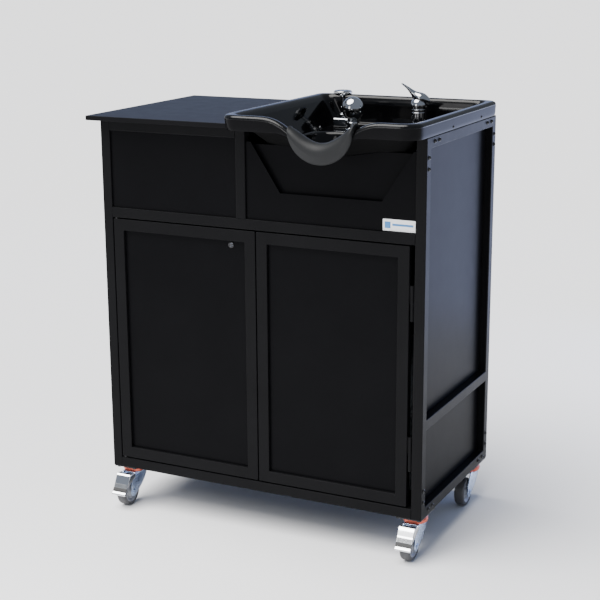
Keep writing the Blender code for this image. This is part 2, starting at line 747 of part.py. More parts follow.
def outline_points(x0, x1, y0, y1, front_radius, back_radius):
    """Anticlockwise points of a rectangle with round corners, from the front left."""
    points = []
    corners = ((x0 + front_radius, y0 + front_radius, front_radius, 180),
               (x1 - front_radius, y0 + front_radius, front_radius, 270),
               (x1 - back_radius, y1 - back_radius, back_radius, 0),
               (x0 + back_radius, y1 - back_radius, back_radius, 90))
    runs = (FRONT_STEPS, SIDE_STEPS, SIDE_STEPS, SIDE_STEPS)
    for number, (cx, cy, radius, start) in enumerate(corners):
        points += arc((cx, cy), radius, start, start + 90, CORNER_STEPS)
        after = corners[(number + 1) % 4]
        first = points[-1]
        last = arc(after[:2], after[2], after[3], after[3], 1)[0]
        for step in range(1, runs[number]):
            share = step / runs[number]
            points.append((first[0] + (last[0] - first[0]) * share,
                           first[1] + (last[1] - first[1]) * share))
    return points


def front_weight(index):
    """1 along the front side, fading round the front corners, 0 elsewhere."""
    last_front = 2 * CORNER_STEPS + FRONT_STEPS
    if index <= last_front:
        return min(1.0, index / CORNER_STEPS, (last_front - index) / CORNER_STEPS)
    return 0.0


def basin_ring(row):
    left, right, front, back, below, share, front_radius, back_radius = row
    points = outline_points(BASIN_LEFT + left, BASIN_RIGHT - right, BASIN_FRONT + front,
                            BASIN_BACK - back, front_radius, back_radius)
    half = SKIRT_NOTCH_HALF if row is BASIN_RINGS[0] else NOTCH_HALF
    return [cabinet(x, y, RIM - below - share * notch(x, half) * front_weight(index))
            for index, (x, y) in enumerate(points)]


def bowl_ring(x0, x1, y0, y1, below, radius, dip=0.0):
    points = outline_points(x0, x1, y0, y1, radius, radius)
    return [cabinet(x, y, RIM - below - dip * notch(x) * front_weight(index))
            for index, (x, y) in enumerate(points)]


def basin_rings():
    rings = [basin_ring(row) for row in BASIN_RINGS]
    rings.append(bowl_ring(BOWL_LEFT, BOWL_RIGHT, BOWL_FRONT, DECK_FRONT, DECK, 0.045, 0.10))
    for inset, below, radius in BOWL_RINGS:
        rings.append(bowl_ring(BOWL_LEFT + inset, BOWL_RIGHT - inset, BOWL_FRONT + inset,
                               DECK_FRONT - inset, below, radius))
    for reach, below in ((0.062, 0.1865), (DRAIN_RADIUS + 0.010, BOWL_DEPTH),
                         (DRAIN_RADIUS, BOWL_DEPTH + 0.003)):
        rings.append(bowl_ring(DRAIN_X - reach, DRAIN_X + reach, DRAIN_Y - reach, DRAIN_Y + reach,
                               below, reach * 0.999))
    return rings


def basin(looks):
    made = loft("basin", basin_rings(), looks["gloss_black"], closed_ends=False)
    wall = made.modifiers.new("wall", "SOLIDIFY")
    wall.thickness = BASIN_SHELL
    wall.offset = -1
    deck = RIM - DECK
    return cut(made,
               cylinder("hose_hole", cabinet(SPRAY_X, SPRAY_Y, deck), HOSE_HOLE, 0.03, "Z",
                        segments=16),
               cylinder("mixer_hole", cabinet(MIXER_X, MIXER_Y, deck), SHANK_RADIUS + GAP, 0.03,
                        "Z", segments=16))


REST_STATIONS = 15
REST_POINTS = 10
REST_X = 0.652            # middle of the neck rest
REST_HALF = 0.083
REST_LOW = 0.8600         # its lowest point, in the middle of its front
REST_ROUND = 0.080        # height of the half ellipse that its lower edge follows
REST_CLEAR = 0.0030
REST_THICK = 0.0132
REST_END = 0.40           # share of that thickness at the two ends
REST_SKIRT = 0.003        # least length down the skirt, at the two ends
REST_REACH = 0.15         # how far it goes down the wall at the two ends, as a share of one row


def rim_point(x, row):
    """A point on the front of the basin's rim, on one row of BASIN_RINGS."""
    ring = BASIN_RINGS[row]
    return Vector((BASIN_FRONT + ring[2], RIM - ring[4] - ring[5] * notch(x)))


def spaced(points, count):
    """Points at even steps along a polyline."""
    lengths = [0.0]
    for before, after in zip(points, points[1:]):
        lengths.append(lengths[-1] + (after - before).length)
    made = []
    for step in range(count):
        place = lengths[-1] * step / (count - 1)
        index = max(i for i in range(len(points) - 1) if lengths[i] <= place + 1e-12)
        span = lengths[index + 1] - lengths[index]
        made.append(points[index].lerp(points[index + 1], (place - lengths[index]) / span))
    return made


def rest_section(across):
    """Closed section of the neck rest, up the skirt and over the rim; across is -1 to 1."""
    x = REST_X + REST_HALF * across
    middle = max(0.0, 1 - across ** 2)
    low = min(REST_LOW + REST_ROUND * (1 - middle ** 0.5), rim_point(x, 3).y - REST_SKIRT)
    path = [Vector((BASIN_FRONT + 0.0004, low))]
    for row in range(1, 9):
        point = rim_point(x, row)
        if row > 3 or point.y > low + 0.002:
            path.append(point)
    path.append(path[-1].lerp(rim_point(x, 9), min(1.0, REST_REACH + middle)))
    path = spaced(path, REST_POINTS)
    swell = REST_THICK * max(REST_END, middle ** 0.42)
    inner = []
    outer = []
    for step, point in enumerate(path):
        along = path[min(step + 1, REST_POINTS - 1)] - path[max(step - 1, 0)]
        normal = Vector((-along.y, along.x)).normalized()
        thick = swell * max(0.25, sin(pi * (0.06 + 0.88 * step / (REST_POINTS - 1))) ** 0.5)
        inner.append(point + normal * REST_CLEAR)
        outer.append(point + normal * (REST_CLEAR + thick))
    return [cabinet(x, y, z) for y, z in inner + outer[::-1]]


def neck_rest(looks):
    rings = []
    for station in range(REST_STATIONS):
        across = sin((2 * station / (REST_STATIONS - 1) - 1) * pi / 2)
        rings.append(rest_section(across))
    return loft("neck_rest", rings, looks["rubber_dark"])


def drain(looks):
    floor_z = RIM - BOWL_DEPTH
    turned("drain_strainer", [(0.0, 0.0030), (0.022, 0.0030), (0.0325, 0.0022), (0.0330, 0.0006),
                              (0.0238, 0.0006), (0.0228, -0.030), (0.0, -0.030)],
           cabinet(DRAIN_X, DRAIN_Y, floor_z), looks["chrome"], "Z", 20)
    turned("drain_tailpiece", [(0.0243, 0.0), (0.0330, 0.0), (0.0330, -0.010), (0.0268, -0.013),
                               (0.0268, -0.026), (0.0205, -0.032), (0.0205, -TAIL_LENGTH),
                               (0.0180, -TAIL_LENGTH), (0.0180, -0.034), (0.0243, -0.0245)],
           cabinet(DRAIN_X, DRAIN_Y, TAIL_TOP), looks["pump_black"], "Z", 16)


# ---------------------------------------------------------------- mixer, breaker and spray
def mixer(looks):
    deck = RIM - DECK
    body_top = DOME_Z - 0.010
    lip = 0.0015
    turned("mixer_body", [(0.0, body_top), (MIXER_RADIUS - lip, body_top),
                          (MIXER_RADIUS, body_top - lip), (MIXER_RADIUS, deck + 0.010),
                          (0.0225, deck + 0.006), (0.0250, deck + 0.003), (0.0250, deck + GAP * 3),
                          (SHANK_RADIUS, deck + GAP * 3), (SHANK_RADIUS, deck - SHANK_DROP),
                          (0.0, deck - SHANK_DROP)],
           cabinet(MIXER_X, MIXER_Y, 0), looks["chrome"], "Z", 24)
    sphere = [(x, y) for x, y in arc((0, 0), DOME_RADIUS, 90, -25, 7)]
    sphere[0] = (0.0, DOME_RADIUS)
    turned("mixer_dome", sphere + [(DOME_RADIUS - 0.001, -0.010 + GAP), (0.0, -0.010 + GAP)],
           cabinet(MIXER_X, MIXER_Y, DOME_Z), looks["chrome"], "Z", 20)
    mixer_lever(looks)


# along the lever, up, half width, half thickness, from the centre of the dome
LEVER_SECTIONS = (
    (0.0270, 0.0050, 0.0060, 0.0030),
    (0.0215, 0.0125, 0.0125, 0.0070),
    (0.0120, 0.0185, 0.0160, 0.0095),
    (0.0010, 0.0225, 0.0155, 0.0100),
    (-0.0080, 0.0285, 0.0125, 0.0085),
    (-0.0170, 0.0360, 0.0090, 0.0060),
    (-0.0270, 0.0435, 0.0062, 0.0038),
    (-0.0425, 0.0545, 0.0035, 0.0016),
)


def mixer_lever(looks):
    """A hood that fits over the dome, and a blade that sweeps up from it."""
    centre = cabinet(MIXER_X, MIXER_Y, DOME_Z)
    along = Vector((cos(LEVER_TURN), sin(LEVER_TURN), 0))
    across = Vector((-sin(LEVER_TURN), cos(LEVER_TURN), 0))
    places = [centre + along * a + Vector((0, 0, up)) for a, up, _, _ in LEVER_SECTIONS]
    rings = []
    for index, (_, _, wide, thick) in enumerate(LEVER_SECTIONS):
        before = places[max(0, index - 1)]
        after = places[min(len(places) - 1, index + 1)]
        normal = (after - before).cross(across).normalized()
        rings.append([places[index] + across * wide * cos(turn) + normal * thick * sin(turn)
                      for turn in (2 * pi * step / 10 for step in range(10))])
    lever = loft("mixer_lever", rings, looks["chrome"])
    ball = arc((0, 0), DOME_RADIUS + 2 * GAP, 90, -90, 11)
    ball[0] = (0.0, ball[0][1])
    ball[-1] = (0.0, ball[-1][1])
    cut(lever, turned("dome_clearance", ball, centre, None, "Z", 20))


def vacuum_breaker(looks):
    deck = RIM - DECK + GAP
    half_x = 0.023
    half_y = 0.017
    block = 0.0245
    made = box("vacuum_breaker", cabinet(BREAKER_X - half_x, BREAKER_Y - half_y, deck),
               cabinet(BREAKER_X + half_x, BREAKER_Y + half_y, deck + block), looks["chrome"],
               0.005)
    top = 0.9785 - deck
    profile = [(0.0, top), (0.0200, top), (0.0238, top - 0.0025), (0.0238, top - 0.0085),
               (0.0195, top - 0.0120), (0.0075, top - 0.0150), (0.0048, top - 0.0190),
               (0.0048, block + 0.012), (0.0095, block + 0.009), (0.0095, block - 0.002),
               (0.0, block - 0.002)]
    join(made, turned("breaker_riser", profile, cabinet(BREAKER_X, BREAKER_Y, deck), None, "Z", 18))


def hand_spray(looks):
    """Holder on the deck, and a round head whose neck and hose slide through it."""
    deck = RIM - DECK + GAP
    holder_top = 0.024
    bore = 0.0082
    turned("spray_holder", [(bore, 0.0006), (0.0200, 0.0006), (0.0200, 0.004), (0.0150, 0.008),
                            (0.0135, holder_top - 0.002), (0.0120, holder_top),
                            (bore, holder_top)][::-1],
           cabinet(SPRAY_X, SPRAY_Y, deck), looks["chrome"], "Z", 24)
    head_z = SPRAY_Z
    collar = deck + holder_top + GAP - head_z
    ball = [(x, y * 1.08) for x, y in arc((0, 0), SPRAY_RADIUS, 90, -62, 10)]
    ball[0] = (0.0, SPRAY_RADIUS * 1.08)
    profile = ball + [(0.0120, collar + 0.0035), (0.0120, collar), (0.0076, collar),
                      (0.0076, collar - 0.012), (0.0, collar - 0.012)]
    turned("spray_head", profile, cabinet(SPRAY_X, SPRAY_Y, head_z), looks["chrome"], "Z", 20)
    hose_top = head_z + collar - 0.012 - GAP
    hose_low = hose_top - HOSE_STRAIGHT
    cylinder("spray_hose", cabinet(SPRAY_X, SPRAY_Y, (hose_top + hose_low) / 2), HOSE_RADIUS,
             HOSE_STRAIGHT, "Z", looks["hose_grey"], 16)
    shank = RIM - DECK - SHANK_DROP - GAP
    low = hose_low - 0.0012
    route = [(SPRAY_X, SPRAY_Y, low), (SPRAY_X, SPRAY_Y, low - 0.03),
             (SPRAY_X + 0.012, SPRAY_Y + 0.012, low - 0.075),
             (SPRAY_X + 0.06, SPRAY_Y + 0.030, low - 0.105),
             (MIXER_X - 0.025, MIXER_Y - 0.010, low - 0.080), (MIXER_X, MIXER_Y, low - 0.02),
             (MIXER_X, MIXER_Y, shank - 0.03), (MIXER_X, MIXER_Y, shank)]
    hose("hose_loop", [cabinet(*point) for point in route], HOSE_RADIUS, looks["hose_grey"], 26)


# ---------------------------------------------------------------- inside the cabinet
FLOOR_TOP = TUBE + FLOOR_RISE + GAP


def tank(name, x, material):
    """A jerrycan with an open neck."""
    low = cabinet(x, TANK_FRONT, FLOOR_TOP)
    high = cabinet(x + TANK_X, TANK_FRONT + TANK_Y, FLOOR_TOP + TANK_Z)
    neck = cabinet(x + TANK_X / 2, TANK_FRONT + TANK_Y / 2, FLOOR_TOP + TANK_Z)
    made = box(name, low, high, material, 0.018)
    join(made, cylinder(name + "_neck", neck + Vector((0, 0, NECK_HEIGHT / 2 - 0.002)), NECK_RADIUS,
                        NECK_HEIGHT + 0.004, "Z"))
    wall = Vector((TANK_WALL,) * 3)
    hollow = box(name + "_hollow", low + wall, high - wall, None, 0.015)
    cut(made, hollow,
        cylinder(name + "_bore", neck + Vector((0, 0, NECK_HEIGHT / 2)), NECK_BORE,
                 NECK_HEIGHT + 0.02, "Z"))


def waste_hose(looks):
    tail = TAIL_TOP - TAIL_LENGTH - GAP
    neck_x = WASTE_X + TANK_X / 2
    neck_y = TANK_FRONT + TANK_Y / 2
    neck_z = FLOOR_TOP + TANK_Z + NECK_HEIGHT
    route = [(DRAIN_X, DRAIN_Y, tail), (DRAIN_X, DRAIN_Y, tail - 0.05),
             (DRAIN_X + 0.020, DRAIN_Y, tail - 0.13), (neck_x - 0.012, neck_y, neck_z + 0.14),
             (neck_x, neck_y, neck_z + 0.06), (neck_x, neck_y, neck_z - 0.012)]
    hose("waste_hose", [cabinet(*point) for point in route], WASTE_HOSE_RADIUS, looks["hose_grey"],
         18)


def heater(looks):
    """A small storage heater: a steel casing that is open underneath."""
    low = cabinet(HEATER_X, HEATER_Y, FLOOR_TOP + HEATER_FEET)
    high = low + Vector((HEATER_SIDE, HEATER_SIDE, HEATER_HEIGHT))
    made = box("water_heater", low, high, looks["casing_white"])
    shape = bmesh.new()
    shape.from_mesh(made.data)
    under = [face for face in shape.faces if face.normal.z < -0.9]
    bmesh.ops.delete(shape, geom=under, context="FACES_ONLY")
    shape.to_mesh(made.data)
    shape.free()
    bevel(made, 0.016)
    wall = made.modifiers.new("wall", "SOLIDIFY")
    wall.thickness = 0.0015
    wall.offset = -1


def pump(looks):
    """A diaphragm pump on a foot plate: pump head, motor and two ports."""
    foot = cabinet(PUMP_X, PUMP_Y, FLOOR_TOP)
    made = box("water_pump", foot + Vector((-0.045, -0.035, 0)), foot + Vector((0.085, 0.035, 0.006)),
               looks["pump_black"])
    join(made,
         box("pump_head", foot + Vector((-0.040, -0.032, 0.004)), foot + Vector((0.015, 0.032, 0.075)),
             None),
         cylinder("pump_motor", foot + Vector((0.050, 0, 0.036)), 0.028, 0.080, "X"),
         cylinder("pump_ports", foot + Vector((-0.015, 0, 0.056)), 0.007, 0.100, "Y",
                  segments=16))


# ---------------------------------------------------------------- assembly
def build():
    clear_scene()
    looks = make_finishes()
    side_frame("left_side_frame", TUBE / 2, looks)
    side_frame("right_side_frame", WIDTH - TUBE / 2, looks)
    rails(looks)
    side_panels(looks)
    front_panels(looks)
    back_panel(looks)
    floor_and_top(looks)
    door_frame("left", looks)
    right_hinges(door_frame("right", looks), looks)
    left_pivots(looks)
    door_panels(looks)
    lock(looks)
    casters(looks)
    basin(looks)
    neck_rest(looks)
    drain(looks)
    mixer(looks)
    vacuum_breaker(looks)
    hand_spray(looks)
    tank("fresh_tank", FRESH_X, looks["tank_white"])
    tank("waste_tank", WASTE_X, looks["tank_grey"])
    waste_hose(looks)
    heater(looks)
    pump(looks)


build()
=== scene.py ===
"""Looks of a mobile shampoo backwash unit: finishes for the cabinet, and fine pieces over its frame."""

import json
from math import copysign, cos, pi, radians, sin, sqrt

import bmesh
import bpy
from mathutils import Matrix, Vector


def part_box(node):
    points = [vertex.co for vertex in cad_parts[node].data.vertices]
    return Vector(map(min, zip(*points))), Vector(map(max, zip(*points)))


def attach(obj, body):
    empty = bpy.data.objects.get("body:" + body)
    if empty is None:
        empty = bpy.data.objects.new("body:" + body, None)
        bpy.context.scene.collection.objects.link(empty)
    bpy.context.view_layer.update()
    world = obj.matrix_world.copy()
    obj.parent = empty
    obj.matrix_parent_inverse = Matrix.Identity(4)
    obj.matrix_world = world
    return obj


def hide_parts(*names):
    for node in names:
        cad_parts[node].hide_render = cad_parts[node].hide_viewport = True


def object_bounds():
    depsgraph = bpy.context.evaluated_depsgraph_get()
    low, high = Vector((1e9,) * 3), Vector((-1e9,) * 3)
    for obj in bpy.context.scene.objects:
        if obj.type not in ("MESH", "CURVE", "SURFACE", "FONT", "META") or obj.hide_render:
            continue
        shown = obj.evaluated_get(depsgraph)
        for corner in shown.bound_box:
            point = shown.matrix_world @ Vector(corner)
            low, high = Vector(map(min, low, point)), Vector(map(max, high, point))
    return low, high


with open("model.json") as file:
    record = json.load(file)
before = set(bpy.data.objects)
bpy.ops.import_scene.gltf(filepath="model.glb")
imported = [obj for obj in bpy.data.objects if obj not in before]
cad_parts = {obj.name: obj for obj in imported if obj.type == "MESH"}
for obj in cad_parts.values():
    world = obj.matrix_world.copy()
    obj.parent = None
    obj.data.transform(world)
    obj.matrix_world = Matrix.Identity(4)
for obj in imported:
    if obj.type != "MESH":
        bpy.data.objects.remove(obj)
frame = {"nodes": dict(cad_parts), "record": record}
cad_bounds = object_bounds()
scene = bpy.context.scene

# ---------------------------------------------------------------- sizes, in metres
# The cabinet's own frame: x right, y back and z up from the frame's front lower left corner.
LEFT, FRONT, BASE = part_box("left_side_frame")[0]
FRAME_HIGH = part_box("right_side_frame")[1]
WIDTH = FRAME_HIGH.x - LEFT
DEPTH = FRAME_HIGH.y - FRONT
HEIGHT = FRAME_HIGH.z - BASE
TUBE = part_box("left_side_frame")[1].x - LEFT


def cabinet(x, y, z):
    return Vector((LEFT + x, FRONT + y, BASE + z))


def in_cabinet(point):
    return point - Vector((LEFT, FRONT, BASE))


def centre_of(name):
    low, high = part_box(name)
    return (low + high) / 2


# ---------------------------------------------------------------- finishes
def node(tree, kind, **inputs):
    made = tree.nodes.new("ShaderNode" + kind)
    for name, value in inputs.items():
        made.inputs[name.replace("_", " ")].default_value = value
    return made


def noise(tree, vector, scale, detail=4.0, rough=0.55):
    made = node(tree, "TexNoise", Scale=scale, Detail=detail, Roughness=rough)
    tree.links.new(vector, made.inputs["Vector"])
    return made.outputs["Fac"]


def ranged(tree, value, low, high, start=0.3, end=0.7):
    made = node(tree, "MapRange", From_Min=start, From_Max=end, To_Min=low, To_Max=high)
    tree.links.new(value, made.inputs["Value"])
    return made.outputs["Result"]


def mixed(tree, share, first, second):
    """A colour between two, each an RGB tuple or a socket."""
    made = tree.nodes.new("ShaderNodeMix")
    made.data_type = "RGBA"
    for socket, value in ((made.inputs[6], first), (made.inputs[7], second)):
        if isinstance(value, tuple):
            socket.default_value = (*value, 1.0)
        else:
            tree.links.new(value, socket)
    tree.links.new(share, made.inputs[0])
    return made.outputs[2]


def maths(tree, operation, first, second):
    made = tree.nodes.new("ShaderNodeMath")
    made.operation = operation
    for socket, value in zip(made.inputs, (first, second)):
        if isinstance(value, (int, float)):
            socket.default_value = value
        else:
            tree.links.new(value, socket)
    return made.outputs[0]


def edge_wear(tree, normal, amount):
    """1 where an edge turns away from its faces, broken up by noise."""
    flat = tree.nodes.new("ShaderNodeNewGeometry")
    dot = tree.nodes.new("ShaderNodeVectorMath")
    dot.operation = "DOT_PRODUCT"
    tree.links.new(normal, dot.inputs[0])
    tree.links.new(flat.outputs["Normal"], dot.inputs[1])
    turned_away = ranged(tree, dot.outputs["Value"], 1.0, 0.0, 0.82, 0.995)
    return maths(tree, "MULTIPLY", turned_away, amount)


LOOKS = {}


def finish(name, colour, rough, metallic=0.0, specular=0.5, clouds=7.0, tint=0.12, spread=0.05,
        grain=900.0, height=0.00005, wave=(0.0, 0.0), edge=0.0, worn=None):
    """A surface with clouded colour and gloss, a fine grain, slow waves, and rubbed, rounded edges."""
    material = bpy.data.materials.new(name)
    material.use_nodes = True
    tree = material.node_tree
    shader = tree.nodes["Principled BSDF"]
    shader.inputs["Metallic"].default_value = metallic
    shader.inputs["Specular IOR Level"].default_value = specular
    place = tree.nodes.new("ShaderNodeTexCoord").outputs["Object"]
    cloud = noise(tree, place, clouds)
    darker = tuple(value * (1 - tint) for value in colour)
    lighter = tuple(min(1.0, value * (1 + tint)) for value in colour)
    shade = mixed(tree, ranged(tree, cloud, 0.0, 1.0), darker, lighter)
    smudge = noise(tree, place, clouds * 3.7, 6.0, 0.62)
    gloss = ranged(tree, smudge, max(0.01, rough - spread), rough + spread)
    bump = node(tree, "Bump", Strength=1.0, Distance=height)
    tree.links.new(noise(tree, place, grain, 3.0), bump.inputs["Height"])
    normal = None
    if edge:
        bevel = node(tree, "Bevel", Radius=edge)
        bevel.samples = 4
        normal = bevel.outputs["Normal"]
        if worn:
            patches = ranged(tree, noise(tree, place, 60.0, 5.0), 0.1, 1.0, 0.4, 0.65)
            shade = mixed(tree, edge_wear(tree, normal, patches), shade, worn)
    if wave[1]:
        slow = node(tree, "Bump", Strength=1.0, Distance=wave[1])
        tree.links.new(noise(tree, place, wave[0], 2.0), slow.inputs["Height"])
        if normal:
            tree.links.new(normal, slow.inputs["Normal"])
        normal = slow.outputs["Normal"]
    if normal:
        tree.links.new(normal, bump.inputs["Normal"])
    tree.links.new(shade, shader.inputs["Base Color"])
    tree.links.new(gloss, shader.inputs["Roughness"])
    tree.links.new(bump.outputs["Normal"], shader.inputs["Normal"])
    LOOKS[name] = material


finish("powder_black", (0.005, 0.005, 0.0056), 0.36, specular=0.048, tint=0.1, spread=0.03, grain=700.0,
    height=0.00004, edge=0.0012, worn=(0.016, 0.016, 0.018))
finish("panel_black", (0.0036, 0.0036, 0.0042), 0.3, specular=0.026, tint=0.08, spread=0.02, grain=1100.0,
    height=0.00002, wave=(2.2, 0.0012), edge=0.0006)
finish("laminate_black", (0.0056, 0.0056, 0.0064), 0.4, specular=0.044, tint=0.06, grain=520.0,
    height=0.00005, spread=0.02, edge=0.001, worn=(0.016, 0.016, 0.018))
finish("gloss_black", (0.0016, 0.0016, 0.0019), 0.06, specular=0.2, grain=160.0, height=0.000006,
    spread=0.018, wave=(7.0, 0.0004))
finish("rubber_dark", (0.0105, 0.0112, 0.0122), 0.5, specular=0.2, grain=1300.0, height=0.00006,
    spread=0.05)
finish("skirt_black", (0.005, 0.005, 0.0056), 0.15, specular=0.026, grain=160.0, height=0.00001,
    spread=0.03, wave=(7.0, 0.0004))
finish("rim_black", (0.0028, 0.0028, 0.0032), 0.17, specular=0.27, grain=160.0, height=0.00001,
    spread=0.03, wave=(7.0, 0.0004))
finish("raw_black", (0.0042, 0.0042, 0.0044), 0.7, specular=0.03, grain=400.0, height=0.00015)
finish("nickel_dark", (0.055, 0.055, 0.06), 0.3, metallic=1.0, clouds=90.0, height=0.00002)
finish("chrome", (0.8, 0.81, 0.83), 0.055, metallic=1.0, tint=0.03, spread=0.035, grain=300.0,
    height=0.000004)
# A darker copy of chrome for the basin's fittings: painted shade, its low reflectance standing in for the
# dark surroundings they reflect.
finish("tap_chrome_painted_shade", (0.47, 0.48, 0.5), 0.045, metallic=1.0, tint=0.05, spread=0.025, grain=300.0,
    height=0.000004)
finish("zinc", (0.5, 0.6, 0.8), 0.3, metallic=1.0, clouds=40.0, tint=0.14, spread=0.08, grain=900.0,
    height=0.00003, edge=0.0005)
finish("tyre_grey", (0.07, 0.07, 0.074), 0.55, specular=0.35, clouds=60.0, grain=1500.0, height=0.0001)
finish("tank_white", (0.72, 0.74, 0.73), 0.4, clouds=9.0, tint=0.05, grain=600.0, height=0.00008,
    wave=(14.0, 0.001))
finish("tank_grey", (0.27, 0.29, 0.31), 0.42, clouds=9.0, tint=0.07, grain=600.0, height=0.00008,
    wave=(14.0, 0.001))
finish("casing_white", (0.72, 0.72, 0.7), 0.32, clouds=5.0, tint=0.04, grain=800.0, height=0.00005)
finish("pump_black", (0.017, 0.017, 0.018), 0.48, specular=0.35, grain=1000.0, height=0.00008,
    edge=0.0006, worn=(0.05, 0.05, 0.05))
finish("hose_grey", (0.19, 0.2, 0.21), 0.45, clouds=30.0, grain=1200.0, height=0.00006)
finish("copper", (0.56, 0.12, 0.08), 0.34, metallic=0.85, clouds=50.0, tint=0.18, spread=0.08,
    height=0.00003)
finish("rim_grey", (0.3, 0.31, 0.34), 0.38, clouds=50.0, tint=0.06, height=0.00005)
finish("bolt_black", (0.014, 0.014, 0.016), 0.28, metallic=0.4, specular=0.6, clouds=80.0, spread=0.08,
    height=0.00003)
finish("grip_grey", (0.2, 0.21, 0.22), 0.45, metallic=0.8, clouds=70.0, tint=0.1, height=0.00006)
finish("label_white", (0.8, 0.81, 0.82), 0.3, clouds=20.0, tint=0.02, height=0.00002)
finish("label_blue", (0.04, 0.19, 0.44), 0.32, clouds=20.0, tint=0.04, height=0.00002)
finish("cap_blue", (0.03, 0.12, 0.36), 0.4, grain=900.0, height=0.00008)
finish("cap_red", (0.42, 0.03, 0.02), 0.4, grain=900.0, height=0.00008)
finish("brass", (0.7, 0.5, 0.22), 0.28, metallic=1.0, clouds=60.0, tint=0.12, height=0.00003)
finish("weld_black", (0.01, 0.01, 0.011), 0.36, specular=0.25, clouds=200.0, grain=400.0, height=0.00012)


def carry_over_finishes():
    for part in frame["record"]["subparts"]:
        shown = frame["nodes"][part["node"]]
        shown.data.materials.clear()
        shown.data.materials.append(LOOKS[part["material_slot"]])


# ---------------------------------------------------------------- mesh helpers
def linked(name, data):
    """A new object in the scene."""
    made = bpy.data.objects.new(name, data)
    scene.collection.objects.link(made)
    return made


AXES = {
    "X": (Vector((0, 1, 0)), Vector((0, 0, 1)), Vector((1, 0, 0))),
    "Y": (Vector((0, 0, 1)), Vector((1, 0, 0)), Vector((0, 1, 0))),
    "Z": (Vector((1, 0, 0)), Vector((0, 1, 0)), Vector((0, 0, 1))),
}


def arc(centre, radius, start, end, steps):
    turns = [radians(start + (end - start) * step / steps) for step in range(steps + 1)]
    return [(centre[0] + radius * cos(turn), centre[1] + radius * sin(turn)) for turn in turns]


def rounded(points, radius, closed=False):
    """An outline with each corner eased over at most this radius."""
    made = []
    count = len(points)
    for index, corner in enumerate(points):
        if not closed and index in (0, count - 1):
            made.append(tuple(corner))
            continue
        here = Vector(corner)
        ends = []
        for other in (points[index - 1], points[(index + 1) % count]):
            away = Vector(other) - here
            reach = min(radius, away.length * 0.45)
            ends.append(here + away.normalized() * reach if away.length else here)
        for t in (0, 0.25, 0.5, 0.75, 1.0):
            made.append(tuple(ends[0].lerp(here, t).lerp(here.lerp(ends[1], t), t)))
    return made


def smooth_path(points, samples):
    """Points spaced along one smooth curve through these."""
    knots = [Vector(point) for point in points]
    ends = [knots[0] * 2 - knots[1]] + knots + [knots[-1] * 2 - knots[-2]]
    made = []
    for step in range(samples + 1):
        place = step / samples * (len(knots) - 1)
        index = min(int(place), len(knots) - 2)
        t = place - index
        a, b, c, d = ends[index:index + 4]
        made.append(0.5 * ((2 * b) + (c - a) * t + (2 * a - 5 * b + 4 * c - d) * t ** 2
            + (3 * b - a - 3 * c + d) * t ** 3))
    return made


MERGED = 1e-7               # a ring narrower than this is one point


def around(count):
    """Evenly spaced angles of a full turn."""
    return [2 * pi * step / count for step in range(count)]


def disc(radius, start, end):
    """The profile of a plain pin or washer."""
    return [(0, start), (radius, start), (radius, end), (0, end)]


def mirrored(profile):
    """A profile carried on by its own mirror image, the other way along."""
    return profile + [(wide, -along) for wide, along in profile[::-1]]


def offsets(origin, *steps):
    return [origin + Vector(step) for step in steps]


def round_rectangle(centre, half_x, half_y, radius, steps):
    """Points of a rectangle with round corners, anticlockwise."""
    points = []
    for x, y, start in ((half_x, half_y, 0), (-half_x, half_y, 90), (-half_x, -half_y, 180),
            (half_x, -half_y, 270)):
        corner = (centre.x + x - copysign(radius, x), centre.y + y - copysign(radius, y))
        points += arc(corner, radius, start, start + 90, steps)
    return points


